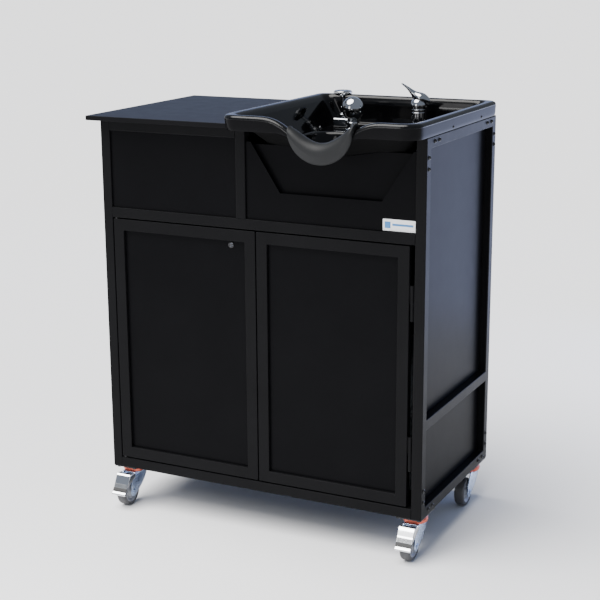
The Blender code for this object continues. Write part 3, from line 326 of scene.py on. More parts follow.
class Shape:
    """Closed shells gathered in one mesh."""

    def __init__(self):
        self.mesh = bmesh.new()

    def rings(self, rings, capped=True, looped=False):
        """A skin over rings of points; a ring of one point closes to a tip."""
        made = [[self.mesh.verts.new(point) for point in ring] for ring in rings]
        pairs = list(zip(made, made[1:]))
        if looped:
            pairs.append((made[-1], made[0]))
        for low, high in pairs:
            count = max(len(low), len(high))
            for index in range(count):
                after = (index + 1) % count
                corners = [low[index % len(low)], low[after % len(low)], high[after % len(high)],
                    high[index % len(high)]]
                self.mesh.faces.new(list(dict.fromkeys(corners)))
        if capped and not looped:
            for ring in (made[0][::-1], made[-1]):
                if len(ring) > 2:
                    self.mesh.faces.new(ring)
        return self

    def lathe(self, profile, origin, axis="Z", steps=48, looped=False):
        """A profile of (radius, place along the axis) turned round the axis; looped for a ring."""
        across, up, along = AXES[axis]
        rings = []
        for radius, place in profile:
            centre = Vector(origin) + along * place
            turns = around(steps) if radius >= MERGED else ()
            rings.append([centre + (across * cos(turn) + up * sin(turn)) * radius
                for turn in turns] or [centre])
        return self.rings(rings, True, looped)

    def block(self, low, high, edge=0.001, segments=3):
        made = bmesh.ops.create_cube(self.mesh, size=1.0)["verts"]
        bmesh.ops.scale(self.mesh, vec=Vector(high) - Vector(low), verts=made)
        bmesh.ops.translate(self.mesh, vec=(Vector(low) + Vector(high)) / 2, verts=made)
        self.ease(made, edge, segments)
        return self

    def cube(self, centre, half, edge):
        """A small block round its centre."""
        centre, half = Vector(centre), Vector(half)
        return self.block(centre - half, centre + half, edge, 2)

    def prism(self, outline, axis, centre, thickness, edge=0.0):
        """A flat outline made solid along an axis; its points are on the other two axes, in order."""
        spare = "XYZ".index(axis)
        rings = []
        for side in (-0.5, 0.5):
            rings.append([[*point[:spare], centre + side * thickness, *point[spare:]] for point in outline])
        before = set(self.mesh.verts)
        self.rings(rings)
        if edge:
            self.ease([v for v in self.mesh.verts if v not in before], edge, 2, 35)
        return self

    def ease(self, verts, edge, segments, angle=20):
        """Round the edges that turn by more than this angle."""
        if not edge:
            return
        bmesh.ops.recalc_face_normals(self.mesh, faces=list({f for v in verts for f in v.link_faces}))
        sharp = [e for e in {e for v in verts for e in v.link_edges}
            if len(e.link_faces) == 2 and e.calc_face_angle(0) > radians(angle)]
        sharp.sort(key=lambda e: tuple(e.verts[0].co) + tuple(e.verts[1].co))
        bmesh.ops.bevel(self.mesh, geom=sharp, offset=edge, segments=segments, profile=0.5,
            affect="EDGES", clamp_overlap=True)

    def tube(self, points, radius, sides=20, ribs=None):
        """A tube along these points; ribs is (pitch, height) of rings round it."""
        points = [Vector(point) for point in points]
        across = (points[1] - points[0]).normalized().orthogonal().normalized()
        rings = []
        travelled = 0.0
        for index, point in enumerate(points):
            before = points[max(index - 1, 0)]
            ahead = (points[min(index + 1, len(points) - 1)] - before).normalized()
            across = (across - ahead * across.dot(ahead)).normalized()
            up = ahead.cross(across)
            travelled += (point - before).length
            wide = radius
            if ribs:
                wide += ribs[1] * (0.5 + 0.5 * cos(2 * pi * travelled / ribs[0])) - ribs[1]
            rings.append([point + (across * cos(turn) + up * sin(turn)) * wide for turn in around(sides)])
        return self.rings(rings)

    def standing(self, profile, centre, outward, steps):
        """A profile turned round an axis that points out of a face."""
        axis = "XYZ"[max(range(3), key=lambda index: abs(outward[index]))]
        sign = 1 if sum(outward) > 0 else -1
        return self.lathe([(wide, sign * up) for wide, up in profile], centre, axis, steps)

    def button(self, centre, outward, radius, height, socket=True):
        """A round screw head, with a hex socket, standing on a face."""
        profile = [(0, 0), (radius, 0), (radius, height * 0.25)]
        profile += [(radius * cos(turn), height * (0.25 + 0.75 * sin(turn)))
            for turn in (radians(angle) for angle in (20, 40, 58))]
        hollow = radius * 0.46
        if socket:
            profile += [(hollow, height), (hollow * 0.92, height * 0.45), (0, height * 0.4)]
        else:
            profile += [(0, height)]
        return self.standing(profile, centre, outward, 18)

    def hex_nut(self, centre, outward, radius, height):
        chamfer = height * 0.2
        return self.standing([(0, 0), (radius, 0), (radius, height - chamfer), (radius - chamfer, height),
            (0, height)], centre, outward, 6)

    def bare(self, name):
        """The shells as a plain object."""
        bmesh.ops.recalc_face_normals(self.mesh, faces=self.mesh.faces)
        mesh = bpy.data.meshes.new(name)
        self.mesh.to_mesh(mesh)
        self.mesh.free()
        return linked(name, mesh)

    def object(self, name, look, slot, body="cabinet", smooth=38, stands_for=None):
        """The finished piece, riding on a body and standing for a node of the frame."""
        made = self.bare(name)
        made.data.materials.append(LOOKS[look])
        made.data.shade_smooth()
        if smooth:
            made.data.set_sharp_from_angle(angle=radians(smooth))
        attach(made, body)
        if stands_for:
            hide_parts(stands_for)
        return made


def subdivide(made):
    modifier = made.modifiers.new("smooth", "SUBSURF")
    modifier.levels = 1
    modifier.render_levels = 1


def apply_modifiers(made):
    """The piece's modifiers made part of its mesh."""
    bpy.context.view_layer.update()
    graph = bpy.context.evaluated_depsgraph_get()
    mesh = bpy.data.meshes.new_from_object(made.evaluated_get(graph))
    made.modifiers.clear()
    made.data = mesh


def drill(made, *places):
    """Round holes, each (centre, radius, depth), up through a piece."""
    for number, (centre, radius, depth) in enumerate(places):
        tool = Shape().lathe(disc(radius, -depth / 2, depth / 2), centre, "Z", 40).bare("drill")
        cut = made.modifiers.new(f"hole_{number}", "BOOLEAN")
        cut.operation = "DIFFERENCE"
        cut.object = tool
        apply_modifiers(made)
        bpy.data.objects.remove(tool)


# ---------------------------------------------------------------- fasteners on the cabinet
RAIL_BOLTS_Y = (0.0484, 0.0766, 0.4136, 0.4462)
LEG_BOLTS_Z = (0.0431, 0.073, 0.8518, 0.8782)
BOLT_RADIUS = 0.0046
BOLT_HEIGHT = 0.003
WASHER = 0.0005
WELD_RADIUS = 0.0021
WELD_GAP = 0.0006           # between a side panel and the tube round it


def side_bolts():
    for side, x, out in (("left", 0.0, -1), ("right", WIDTH, 1)):
        shape = Shape()
        places = [(y, z) for y in RAIL_BOLTS_Y for z in (TUBE * 0.53, HEIGHT - TUBE * 0.45)]
        places += [(y, z) for y in (TUBE / 2, DEPTH - TUBE / 2) for z in LEG_BOLTS_Z]
        for y, z in places:
            start = cabinet(x, y, z)
            shape.lathe(disc(BOLT_RADIUS + 0.001, 0.0, out * WASHER), start, "X", 20)
            shape.button(start + Vector((out * WASHER, 0, 0)), (out, 0, 0), BOLT_RADIUS, BOLT_HEIGHT)
        shape.object(f"{side}_frame_bolts", "bolt_black", "powder_black")


def panel_screws():
    """Small screws: round the back panel, and through the basin's right skirt."""
    low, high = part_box("back_panel")
    inset = 0.012
    span = high - low
    places = [(low.x + inset + (span.x - 2 * inset) * step / 4, z) for step in range(5)
        for z in (low.z + inset, high.z - inset)]
    places += [(x, low.z + span.z * share) for x in (low.x + inset, high.x - inset)
        for share in (0.25, 0.5, 0.75)]
    shape = Shape()
    for x, z in places:
        shape.button((x, high.y, z), (0, 1, 0), 0.0036, 0.0018)
    shape.object("back_panel_screws", "bolt_black", "powder_black")
    shape = Shape()
    for y, z in ((0.152, 0.9328), (0.35, 0.9346)):
        shape.button(cabinet(BASIN_RIGHT - 0.0012, y, z), (1, 0, 0), 0.0032, 0.0017)
    shape.object("skirt_screws", "bolt_black", "powder_black")


def weld_beads():
    """Fillets in the inner corners of the side frames' windows."""
    windows = [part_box("right_lower_panel"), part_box("right_upper_panel")]
    quarter = [pi / 2 * step / 5 for step in range(6)]
    for side, x in (("left", TUBE * 0.3), ("right", WIDTH - TUBE * 0.3)):
        shape = Shape()
        for low, high in windows:
            for y, across in ((low.y - WELD_GAP, WELD_RADIUS), (high.y + WELD_GAP, -WELD_RADIUS)):
                for z, up in ((low.z - WELD_GAP, WELD_RADIUS), (high.z + WELD_GAP, -WELD_RADIUS)):
                    fillet = [(y + across * (1 - sin(t)), z + up * (1 - cos(t))) for t in quarter]
                    shape.prism([(y, z)] + fillet, "X", LEFT + x, TUBE * 0.5)
        shape.object(f"{side}_frame_welds", "weld_black", "powder_black")


def label():
    """A blank plate on the front panel: a square and a bar, with no lettering."""
    low = cabinet(0.771, 0.0052, 0.7042)
    high = cabinet(0.853, 0.0059, 0.7317)
    Shape().block(low, high, 0.0003).object("label_plate", "label_white", "panel_black")
    front, back = low.y - 0.0002, low.y + 0.0002
    marks = Shape()
    marks.block((low.x + 0.005, front, low.z + 0.006), (low.x + 0.0195, back, high.z - 0.006), 0.0004)
    marks.block((low.x + 0.024, front, low.z + 0.0125), (high.x - 0.006, back, low.z + 0.0175), 0.0004)
    marks.object("label_marks", "label_blue", "panel_black")


# ---------------------------------------------------------------- doors
def hinge_screws():
    """Flat screw heads in the right door's hinge leaves."""
    for place in ("lower", "upper"):
        low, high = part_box(f"right_hinge_{place}")
        centre = (low + high) / 2
        shape = Shape()
        for z in (low.z + 0.014, centre.z, high.z - 0.014):
            shape.button((high.x - 0.0002, centre.y + 0.008, z), (1, 0, 0), 0.003, 0.001)
        shape.object(f"right_hinge_{place}_screws", "bolt_black", "powder_black")


def lock():
    """The cam lock's rim in the left door, its nut behind the panel, and the plug with the key's slot."""
    low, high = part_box("lock_barrel")
    x, z = centre_of("lock_barrel").xz
    bore = 0.0045
    thread = 0.0061
    length = high.y - low.y
    rim = rounded([(bore, 0), (0.0058, 0), (0.0074, 0.0006), (0.0078, 0.0014), (0.0078, 0.002),
        (thread, 0.002), (thread, length), (bore, length)], 0.0004, closed=True)
    rim = Shape().lathe(rim, (x, low.y, z), "Y", 48, looped=True)
    rim.object("lock_rim", "bolt_black", "chrome", "left_door", 30, "lock_barrel")
    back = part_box("left_door_panel")[1].y
    inside = thread + 0.0001
    nut = [(inside, 0.0002), (0.0098, 0.0002), (0.0098, 0.0032), (inside, 0.0032)]
    nut = Shape().lathe(nut, (x, back, z), "Y", 6, looped=True)
    nut.object("lock_nut", "zinc", "chrome", "left_door", 30)
    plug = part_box("lock_cam")[0].y
    slot = Shape().cube((x, plug + 0.0001, z), (0.0006, 0.0003, 0.0026), 0.0002)
    slot.object("lock_key_slot", "pump_black", "zinc", "lock_cam")
    face = Shape().lathe([(0, -0.0001), (0.004, -0.0001), (0.0042, 0.0006), (0, 0.0006)], (x, plug, z),
        "Y", 40)
    face.object("lock_plug_face", "nickel_dark", "zinc", "lock_cam", 30)


def pivot_pins():
    """The blackened pins that the left door turns on."""
    for place in ("lower", "upper"):
        low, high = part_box(f"left_pivot_{place}")
        x, y = centre_of(f"left_pivot_{place}").xy
        profile = rounded(disc((high.x - low.x) / 2, 0.0, high.z - low.z), 0.0006)
        Shape().lathe(profile, (x, y, low.z), "Z", 32).object(
            f"left_pivot_{place}_pin", "bolt_black", "zinc", smooth=30, stands_for=f"left_pivot_{place}")


# ---------------------------------------------------------------- basin
BASIN_LOW, BASIN_HIGH = (in_cabinet(corner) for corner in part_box("basin"))
BASIN_LEFT, BASIN_RIGHT = BASIN_LOW.x, BASIN_HIGH.x
BASIN_FRONT, BASIN_BACK = BASIN_LOW.y, BASIN_HIGH.y
RIM = BASIN_HIGH.z
SHELL = 0.004
NOTCH_X = 0.648
NOTCH_HALF = 0.163
SKIRT_NOTCH_HALF = 0.125
NOTCH_DEPTH = 0.07
DECK = RIM - 0.081          # height of the ledge behind the bowl
BOWL = (0.4555, 0.823, 0.045, 0.318)  # left, right, front, back
BOWL_DEPTH = 0.188
DRAIN = (0.64, 0.185)
DRAIN_RADIUS = 0.025
FRONT_STEPS = 44
CORNER_STEPS = 8
SIDE_STEPS = 10

# inset of the left, right, front and back sides; depth under the rim; share of the notch;
# radius of the front and of the back corners
BASIN_ROWS = (
    (0.0035, 0.0012, 0.0040, 0.0035, 0.0385, 0.74, 0.040, 0.018),
    (0.0008, 0.0008, 0.0010, 0.0008, 0.0190, 0.93, 0.042, 0.020),
    (0.0000, 0.0000, 0.0000, 0.0000, 0.0100, 1.0, 0.042, 0.020),
    (0.0014, 0.0014, 0.0014, 0.0014, 0.0048, 1.0, 0.041, 0.020),
    (0.0050, 0.0050, 0.0050, 0.0050, 0.0014, 1.0, 0.038, 0.020),
    (0.0120, 0.0120, 0.0120, 0.0120, 0.0000, 1.0, 0.034, 0.020),
    (0.0200, 0.0200, 0.0200, 0.0200, 0.0014, 1.0, 0.032, 0.022),
    (0.0265, 0.0265, 0.0265, 0.0240, 0.0060, 1.0, 0.032, 0.024),
    (0.0320, 0.0320, 0.0330, 0.0262, 0.0150, 0.95, 0.034, 0.026),
    (0.0400, 0.0400, 0.0440, 0.0272, 0.0320, 0.78, 0.040, 0.028),
    (0.0520, 0.0520, 0.0720, 0.0284, 0.0560, 0.48, 0.050, 0.030),
    (0.0600, 0.0600, 0.1000, 0.0310, 0.0740, 0.24, 0.055, 0.032),
    (0.0650, 0.0610, 0.1160, 0.0370, 0.0810, 0.14, 0.060, 0.034),
)


def notch(x, half=NOTCH_HALF):
    """How far the rim dips for the neck at this place along the front."""
    t = min(1.0, abs(x - NOTCH_X) / half)
    return NOTCH_DEPTH * (0.5 * (1 + cos(pi * t))) ** 1.5


def outline_points(x0, x1, y0, y1, front_radius, back_radius):
    """Anticlockwise points of a rectangle with round corners, from the front left."""
    points = []
    corners = ((x0 + front_radius, y0 + front_radius, front_radius, 180),
        (x1 - front_radius, y0 + front_radius, front_radius, 270),
        (x1 - back_radius, y1 - back_radius, back_radius, 0),
        (x0 + back_radius, y1 - back_radius, back_radius, 90))
    runs = (FRONT_STEPS, SIDE_STEPS, SIDE_STEPS, SIDE_STEPS)
    for number, (cx, cy, radius, start) in enumerate(corners):
        points += arc((cx, cy), radius, start, start + 90, CORNER_STEPS)
        after = corners[(number + 1) % 4]
        first = points[-1]
        last = arc(after[:2], after[2], after[3], after[3], 1)[0]
        for step in range(1, runs[number]):
            share = step / runs[number]
            points.append((first[0] + (last[0] - first[0]) * share,
                first[1] + (last[1] - first[1]) * share))
    return points


def front_weight(index):
    """1 along the front side, fading round the front corners, 0 elsewhere."""
    last_front = 2 * CORNER_STEPS + FRONT_STEPS
    if index <= last_front:
        return min(1.0, index / CORNER_STEPS, (last_front - index) / CORNER_STEPS)
    return 0.0


def basin_ring(row):
    left, right, front, back, below, share, front_radius, back_radius = row
    points = outline_points(BASIN_LEFT + left, BASIN_RIGHT - right, BASIN_FRONT + front,
        BASIN_BACK - back, front_radius, back_radius)
    half = SKIRT_NOTCH_HALF if row is BASIN_ROWS[0] else NOTCH_HALF
    return [cabinet(x, y, RIM - below - share * notch(x, half) * front_weight(index))
        for index, (x, y) in enumerate(points)]


def bowl_ring(x0, x1, y0, y1, below, radius, dip=0.0):
    points = outline_points(x0, x1, y0, y1, radius, radius)
    return [cabinet(x, y, RIM - below - dip * notch(x) * front_weight(index))
        for index, (x, y) in enumerate(points)]


# inset of the bowl's sides; depth under the rim; radius of its corners; share of the notch
BOWL_ROWS = (
    (-0.004, 0.0812, 0.045, 0.10),
    (0.000, 0.0830, 0.047, 0.06),
    (0.003, 0.0875, 0.049, 0),
    (0.005, 0.0960, 0.050, 0),
    (0.012, 0.1300, 0.055, 0),
    (0.022, 0.1620, 0.060, 0),
    (0.045, 0.1800, 0.070, 0),
)
# radius of the rings that close in on the drain; depth under the rim
DRAIN_ROWS = (
    (0.062, 0.1865),
    (DRAIN_RADIUS + 0.014, BOWL_DEPTH - 0.0002),
    (DRAIN_RADIUS + 0.008, BOWL_DEPTH),
    (DRAIN_RADIUS, BOWL_DEPTH + 0.003),
)
# Each look is followed by its underside's, which Solidify reaches with material_offset.
BASIN_LOOKS = ("raw_black", "skirt_black", "raw_black", "rim_black", "raw_black")
SKIRT_SLOT, RIM_SLOT = 2, 4
SKIRT_BANDS, RIM_BANDS = 2, 8  # the bands between rows that end the skirt and the rim


def basin():
    rings = [basin_ring(row) for row in BASIN_ROWS]
    left, right, front, back = BOWL
    for inset, below, radius, dip in BOWL_ROWS:
        rings.append(bowl_ring(left + inset, right - inset, front + inset, back - inset, below, radius,
            dip))
    x, y = DRAIN
    for reach, below in DRAIN_ROWS:
        rings.append(bowl_ring(x - reach, x + reach, y - reach, y + reach, below, reach * 0.999))
    made = Shape().rings(rings, capped=False).object("basin_shell", "gloss_black", "gloss_black")
    for look in BASIN_LOOKS:
        made.data.materials.append(LOOKS[look])
    for index, face in enumerate(made.data.polygons):
        band = index // len(rings[0])
        if band < RIM_BANDS:
            face.material_index = SKIRT_SLOT if band < SKIRT_BANDS else RIM_SLOT
    wall = made.modifiers.new("wall", "SOLIDIFY")
    wall.thickness = SHELL
    wall.offset = -1
    wall.use_even_offset = True
    wall.material_offset = 1
    subdivide(made)
    apply_modifiers(made)
    drill(made, (cabinet(*SPRAY, DECK), 0.0082, 0.03), (cabinet(*MIXER, DECK), 0.0104, 0.03))
    made.data.shade_smooth()
    made.data.set_sharp_from_angle(angle=radians(50))
    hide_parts("basin")


def splash_panel():
    """The plate behind the cut-out, its top edge cut to follow the underside of the bowl."""
    low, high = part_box("splash_panel")
    under = BASIN_ROWS[11]
    count = 40
    outline = [(low.x, low.z), (high.x, low.z)]
    for step in range(count + 1):
        x = high.x + (low.x - high.x) * step / count
        outline.append((x, BASE + RIM - under[4] - under[5] * notch(x - LEFT) - SHELL - 0.0012))
    Shape().prism(outline, "Y", (low.y + high.y) / 2, high.y - low.y).object(
        "splash_plate", "panel_black", "panel_black", stands_for="splash_panel")


def rim_point(x, row):
    """A point on the front of the basin's rim, on one of BASIN_ROWS: (depth, height)."""
    ring = BASIN_ROWS[row]
    return Vector((BASIN_FRONT + ring[2], RIM - ring[4] - ring[5] * notch(x)))


def spaced(points, count):
    """Points at even steps along a polyline."""
    lengths = [0.0]
    for before, after in zip(points, points[1:]):
        lengths.append(lengths[-1] + (after - before).length)
    made = []
    for step in range(count):
        place = lengths[-1] * step / (count - 1)
        index = max(i for i in range(len(points) - 1) if lengths[i] <= place + 1e-12)
        span = lengths[index + 1] - lengths[index]
        made.append(points[index].lerp(points[index + 1], (place - lengths[index]) / span))
    return made


REST_STATIONS = 45
REST_POINTS = 19
REST_X = 0.652
REST_HALF = 0.083
REST_LOW = 0.86             # its lowest point, in the middle of its front
REST_ROUND = 0.08           # height of the half ellipse that its lower edge follows
REST_CLEAR = 0.0024
REST_THICK = 0.0138
REST_END = 0.42             # share of that thickness at the two ends
REST_HORN = 0.5             # more of it at the right end, which stands up like a horn


def rest_section(across):
    """Closed section of the neck rest, up the skirt and over the rim; across is -1 to 1."""
    x = REST_X + REST_HALF * across
    middle = max(0, 1 - across ** 2)
    low = min(REST_LOW + REST_ROUND * (1 - sqrt(middle)), rim_point(x, 3).y - 0.003)
    path = [Vector((BASIN_FRONT + 0.0004, low))]
    for row in range(1, 9):
        point = rim_point(x, row)
        if row > 3 or point.y > low + 0.002:
            path.append(point)
    path.append(path[-1].lerp(rim_point(x, 9), min(1.0, 0.15 + middle)))
    path = spaced(smooth_path(path, 60), REST_POINTS)
    end = REST_END + REST_HORN * max(0, across)
    swell = REST_THICK * max(end, middle ** 0.42)
    inner = []
    outer = []
    for step, point in enumerate(path):
        along = path[min(step + 1, REST_POINTS - 1)] - path[max(step - 1, 0)]
        normal = Vector((-along.y, along.x)).normalized()
        thick = swell * max(0.12, sin(pi * (0.02 + 0.96 * step / (REST_POINTS - 1))) ** 0.5)
        inner.append(point + normal * REST_CLEAR)
        outer.append(point + normal * (REST_CLEAR + thick))
    return [cabinet(x, y, z) for y, z in inner + outer[::-1]]


def neck_rest():
    turns = [(2 * station / (REST_STATIONS - 1) - 1) * pi / 2 for station in range(REST_STATIONS)]
    made = Shape().rings([rest_section(sin(turn)) for turn in turns])
    made = made.object("neck_cushion", "rubber_dark", "rubber_dark", smooth=None)
    subdivide(made)
    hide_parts("neck_rest")


# ---------------------------------------------------------------- fittings on the basin
MIXER = in_cabinet(centre_of("mixer_body"))[:2]
SPRAY = in_cabinet(centre_of("spray_head"))[:2]
BREAKER = (0.4858, 0.4065)
DOME_Z = 0.95
DOME_RADIUS = 0.0175
LEVER_TURN = radians(20)


def drain():
    floor = cabinet(*DRAIN, RIM - BOWL_DEPTH)
    profile = rounded([(0, 0.001), (0.0185, 0.001), (0.0215, 0.0026), (0.0325, 0.0024), (0.033, 0.0006),
        (0.0238, 0.0006), (0.0228, -0.03), (0, -0.03)], 0.0008)
    Shape().lathe(profile, floor, "Z", 64).object("strainer_basket", "tap_chrome_painted_shade", "chrome", "strainer",
        stands_for="drain_strainer")
    holes = Shape()
    for ring, count in ((0.006, 6), (0.0125, 12)):
        for turn in around(count):
            place = floor + Vector((ring * cos(turn), ring * sin(turn), 0.0011))
            holes.lathe([(0, -0.0004), (0.0021, -0.0004), (0.0023, 0.0001), (0, 0.0001)], place, "Z", 16)
    holes.lathe([(0, 0), (0.0032, 0), (0.0026, 0.006), (0.004, 0.0075), (0.0034, 0.0095), (0, 0.01)],
        floor + Vector((0, 0, 0.0009)), "Z", 20)
    holes.object("strainer_knob_and_holes", "pump_black", "pump_black", "strainer")


MIXER_SHANK = 0.045         # how far the mixer's shank reaches under the ledge


def mixer():
    top = DOME_Z - 0.01 - DECK
    profile = rounded([(0, top), (0.017, top), (0.017, top - 0.005), (0.0158, top - 0.0058),
        (0.0158, top - 0.0072), (0.017, top - 0.008), (0.0165, 0.022), (0.0172, 0.01), (0.0225, 0.006),
        (0.025, 0.0032), (0.025, 0.0009), (0.01, 0.0009), (0.01, -MIXER_SHANK), (0, -MIXER_SHANK)],
        0.0009)
    Shape().lathe(profile, cabinet(*MIXER, DECK), "Z", 64).object(
        "mixer_pillar", "tap_chrome_painted_shade", "chrome", smooth=30, stands_for="mixer_body")
    nut = Shape().hex_nut(cabinet(*MIXER, DECK - SHELL - 0.0004), (0, 0, -1), 0.0175, 0.007)
    nut.object("mixer_nut", "brass", "zinc")
    sphere = [(0, DOME_RADIUS)] + arc((0, 0), DOME_RADIUS, 84, -25, 18)
    dome = Shape().lathe(sphere + [(DOME_RADIUS - 0.001, -0.0097), (0, -0.0097)], cabinet(*MIXER, DOME_Z),
        "Z", 48)
    dome.object("mixer_cap", "tap_chrome_painted_shade", "chrome", "mixer_dome", stands_for="mixer_dome")
    mixer_lever()


# along the lever, up, half width, half thickness, from the centre of the dome
LEVER_SECTIONS = (
    (0.0275, 0.0040, 0.0060, 0.0036),
    (0.0215, 0.0115, 0.0130, 0.0090),
    (0.0120, 0.0165, 0.0170, 0.0130),
    (0.0020, 0.0200, 0.0168, 0.0135),
    (-0.0075, 0.0255, 0.0118, 0.0104),
    (-0.0160, 0.0330, 0.0078, 0.0068),
    (-0.0270, 0.0432, 0.0056, 0.0038),
    (-0.0425, 0.0545, 0.0036, 0.0018),
)
LEVER_TIP = 0.0012          # how far each end of the blade is rounded out


def mixer_lever():
    """A hood that fits over the dome, and a blade that sweeps up from it."""
    centre = cabinet(*MIXER, DOME_Z)
    along = Vector((cos(LEVER_TURN), sin(LEVER_TURN), 0))
    across = Vector((-sin(LEVER_TURN), cos(LEVER_TURN), 0))
    knots = smooth_path([(a, up, wide) for a, up, wide, _ in LEVER_SECTIONS], 34)
    thicks = smooth_path([(thick, 0, 0) for *_, thick in LEVER_SECTIONS], 34)
    places = [centre + along * knot.x + Vector((0, 0, knot.y)) for knot in knots]
    rings = []
    for index, knot in enumerate(knots):
        ahead = places[min(len(places) - 1, index + 1)] - places[max(0, index - 1)]
        normal = ahead.cross(across).normalized()
        rings.append([places[index] + across * knot.z * cos(turn) + normal * thicks[index].x * sin(turn)
            for turn in around(28)])

    def tip(ring, outward):
        middle = sum(ring, Vector()) / len(ring)
        outward = outward.normalized() * LEVER_TIP
        return [[middle + (point - middle) * sqrt(1 - share ** 2) + outward * share for point in ring]
            for share in (0.5, 0.85)] + [[middle + outward]]

    first = tip(rings[0], places[0] - places[1])
    shape = Shape().rings(first[::-1] + rings + tip(rings[-1], places[-1] - places[-2]))
    inner = DOME_RADIUS + 0.0004
    outer = DOME_RADIUS + 0.003
    hood = [(0, outer)] + arc((0, 0), outer, 84, -3, 14) + arc((0, 0), inner, -5, 84, 14)
    shape.lathe(hood + [(0, inner)], centre, "Z", 48)
    shape.object("mixer_handle", "tap_chrome_painted_shade", "chrome", "mixer_lever", stands_for="mixer_lever")


def vacuum_breaker():
    low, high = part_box("vacuum_breaker")
    deck = in_cabinet(low).z
    top = high.z - low.z
    block = 0.0245
    centre = cabinet(*BREAKER, deck)
    shape = Shape().block(centre + Vector((-0.023, -0.017, 0)), centre + Vector((0.023, 0.017, block)),
        0.005, 6)
    profile = rounded([(0, top - 0.0012), (0.015, top - 0.0012), (0.0165, top), (0.0205, top),
        (0.0238, top - 0.0022), (0.0238, top - 0.0085), (0.0195, top - 0.012), (0.0075, top - 0.015),
        (0.0048, top - 0.019), (0.0048, block + 0.03), (0.0062, block + 0.0285), (0.0062, block + 0.0245),
        (0.0048, block + 0.023), (0.0048, block + 0.012), (0.0095, block + 0.009),
        (0.0095, block - 0.002), (0, block - 0.002)], 0.001)
    shape.lathe(profile, centre, "Z", 56)
    shape.object("breaker_body", "tap_chrome_painted_shade", "chrome", smooth=30, stands_for="vacuum_breaker")
    ribs = Shape()
    for turn in around(28):
        place = centre + Vector((0.0237 * cos(turn), 0.0237 * sin(turn), top - 0.0053))
        ribs.lathe([(0, -0.0024), (0.0006, -0.002), (0.0006, 0.002), (0, 0.0024)], place, "Z", 8)
    ribs.object("breaker_cap_ribs", "tap_chrome_painted_shade", "chrome")


def hand_spray():
    low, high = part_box("spray_holder")
    x, y = centre_of("spray_head").xy
    tall = high.z - low.z
    profile = rounded([(0.0082, tall), (0.012, tall), (0.0135, tall - 0.0025), (0.0145, 0.0085),
        (0.016, 0.006), (0.02, 0.0036), (0.02, 0), (0.0082, 0)], 0.0009, closed=True)
    Shape().lathe(profile, (x, y, low.z), "Z", 56, looped=True).object(
        "spray_bushing", "tap_chrome_painted_shade", "chrome", smooth=30, stands_for="spray_holder")
    head_low, head_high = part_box("spray_head")
    radius = (head_high.x - head_low.x) / 2
    tall = radius * 1.08
    seat = high.z + 0.0003
    middle = head_high.z - tall - seat
    ball = [(0, middle + tall)] + [(radius * cos(t), middle + tall * sin(t))
        for t in (radians(85 - 147 * step / 26) for step in range(27))]
    tail = head_low.z - seat
    neck = [(0.0118, 0.0095), (0.0132, 0.0085), (0.0132, 0.0068), (0.0115, 0.006), (0.0128, 0.0052),
        (0.0128, 0.0034), (0.011, 0.0026), (0.012, 0.0018), (0.012, 0), (0.0076, 0), (0.0076, tail),
        (0, tail)]
    Shape().lathe(ball + rounded(neck, 0.0006), (x, y, seat), "Z", 64).object(
        "spray_ball", "tap_chrome_painted_shade", "chrome", "hand_spray", 30, "spray_head")
    face = Shape()
    turn = radians(-112)
    for number in range(3):
        drop = radians(-8 + 22 * number)
        reach = radius * cos(drop)
        spot = (x + cos(turn) * reach, y + sin(turn) * reach, seat + middle + tall * sin(drop))
        face.lathe([(0, -0.0012), (0.0026, -0.0012), (0.0026, 0), (0, 0.0004)], spot, "Y", 16)
    face.object("spray_nozzles", "pump_black", "pump_black", "hand_spray")


# ---------------------------------------------------------------- casters
WHEEL_RADIUS = 0.0375
CHEEK_INSIDE = 0.0165
CHEEK = 0.0025
CASTERS = ("front_left", "front_right", "back_left", "back_right")


def tyre_and_rim(name, axle):
    half = 0.013
    crown = 0.0006
    tread = [(WHEEL_RADIUS - crown * (across / 0.009) ** 2, across)
        for across in (0.009, 0.0072, 0.0052, 0.003, 0.001, -0.001, -0.003, -0.0052, -0.0072, -0.009)]
    shoulder = [(0.0364, -0.0106), (0.0355, -0.0118), (0.0325, -half), (0.0292, -half), (0.0285, -0.0118)]
    tyre = Shape().lathe(tread + mirrored(shoulder), axle, "X", 72, looped=True)
    for side in (-1, 1):
        tyre.lathe([(0.0318, side * 0.0128), (0.0324, side * 0.0134), (0.033, side * 0.0128)], axle, "X",
            72, looped=True)
    tyre.object(f"caster_{name}_tyre", "tyre_grey", "tyre_grey", f"wheel_{name}", 30)
    hub = CHEEK_INSIDE - 0.0007
    rim = mirrored([(0.0043, hub), (0.0095, hub), (0.0102, 0.0125), (0.015, 0.008), (0.0215, 0.0072),
        (0.024, 0.01), (0.0262, 0.0122), (0.0288, 0.0122)])
    wheel = Shape().lathe(rounded(rim, 0.0008, closed=True), axle, "X", 72, looped=True)
    for side in (-1, 1):
        for turn in around(6):
            spot = axle + Vector((side * 0.0086, 0.0182 * cos(turn), 0.0182 * sin(turn)))
            wheel.cube(spot, (0.0022, 0.0016, 0.0016), 0.0006)
    wheel.object(f"caster_{name}_rim", "rim_grey", "tyre_grey", f"wheel_{name}", 30,
        f"caster_{name}_wheel")


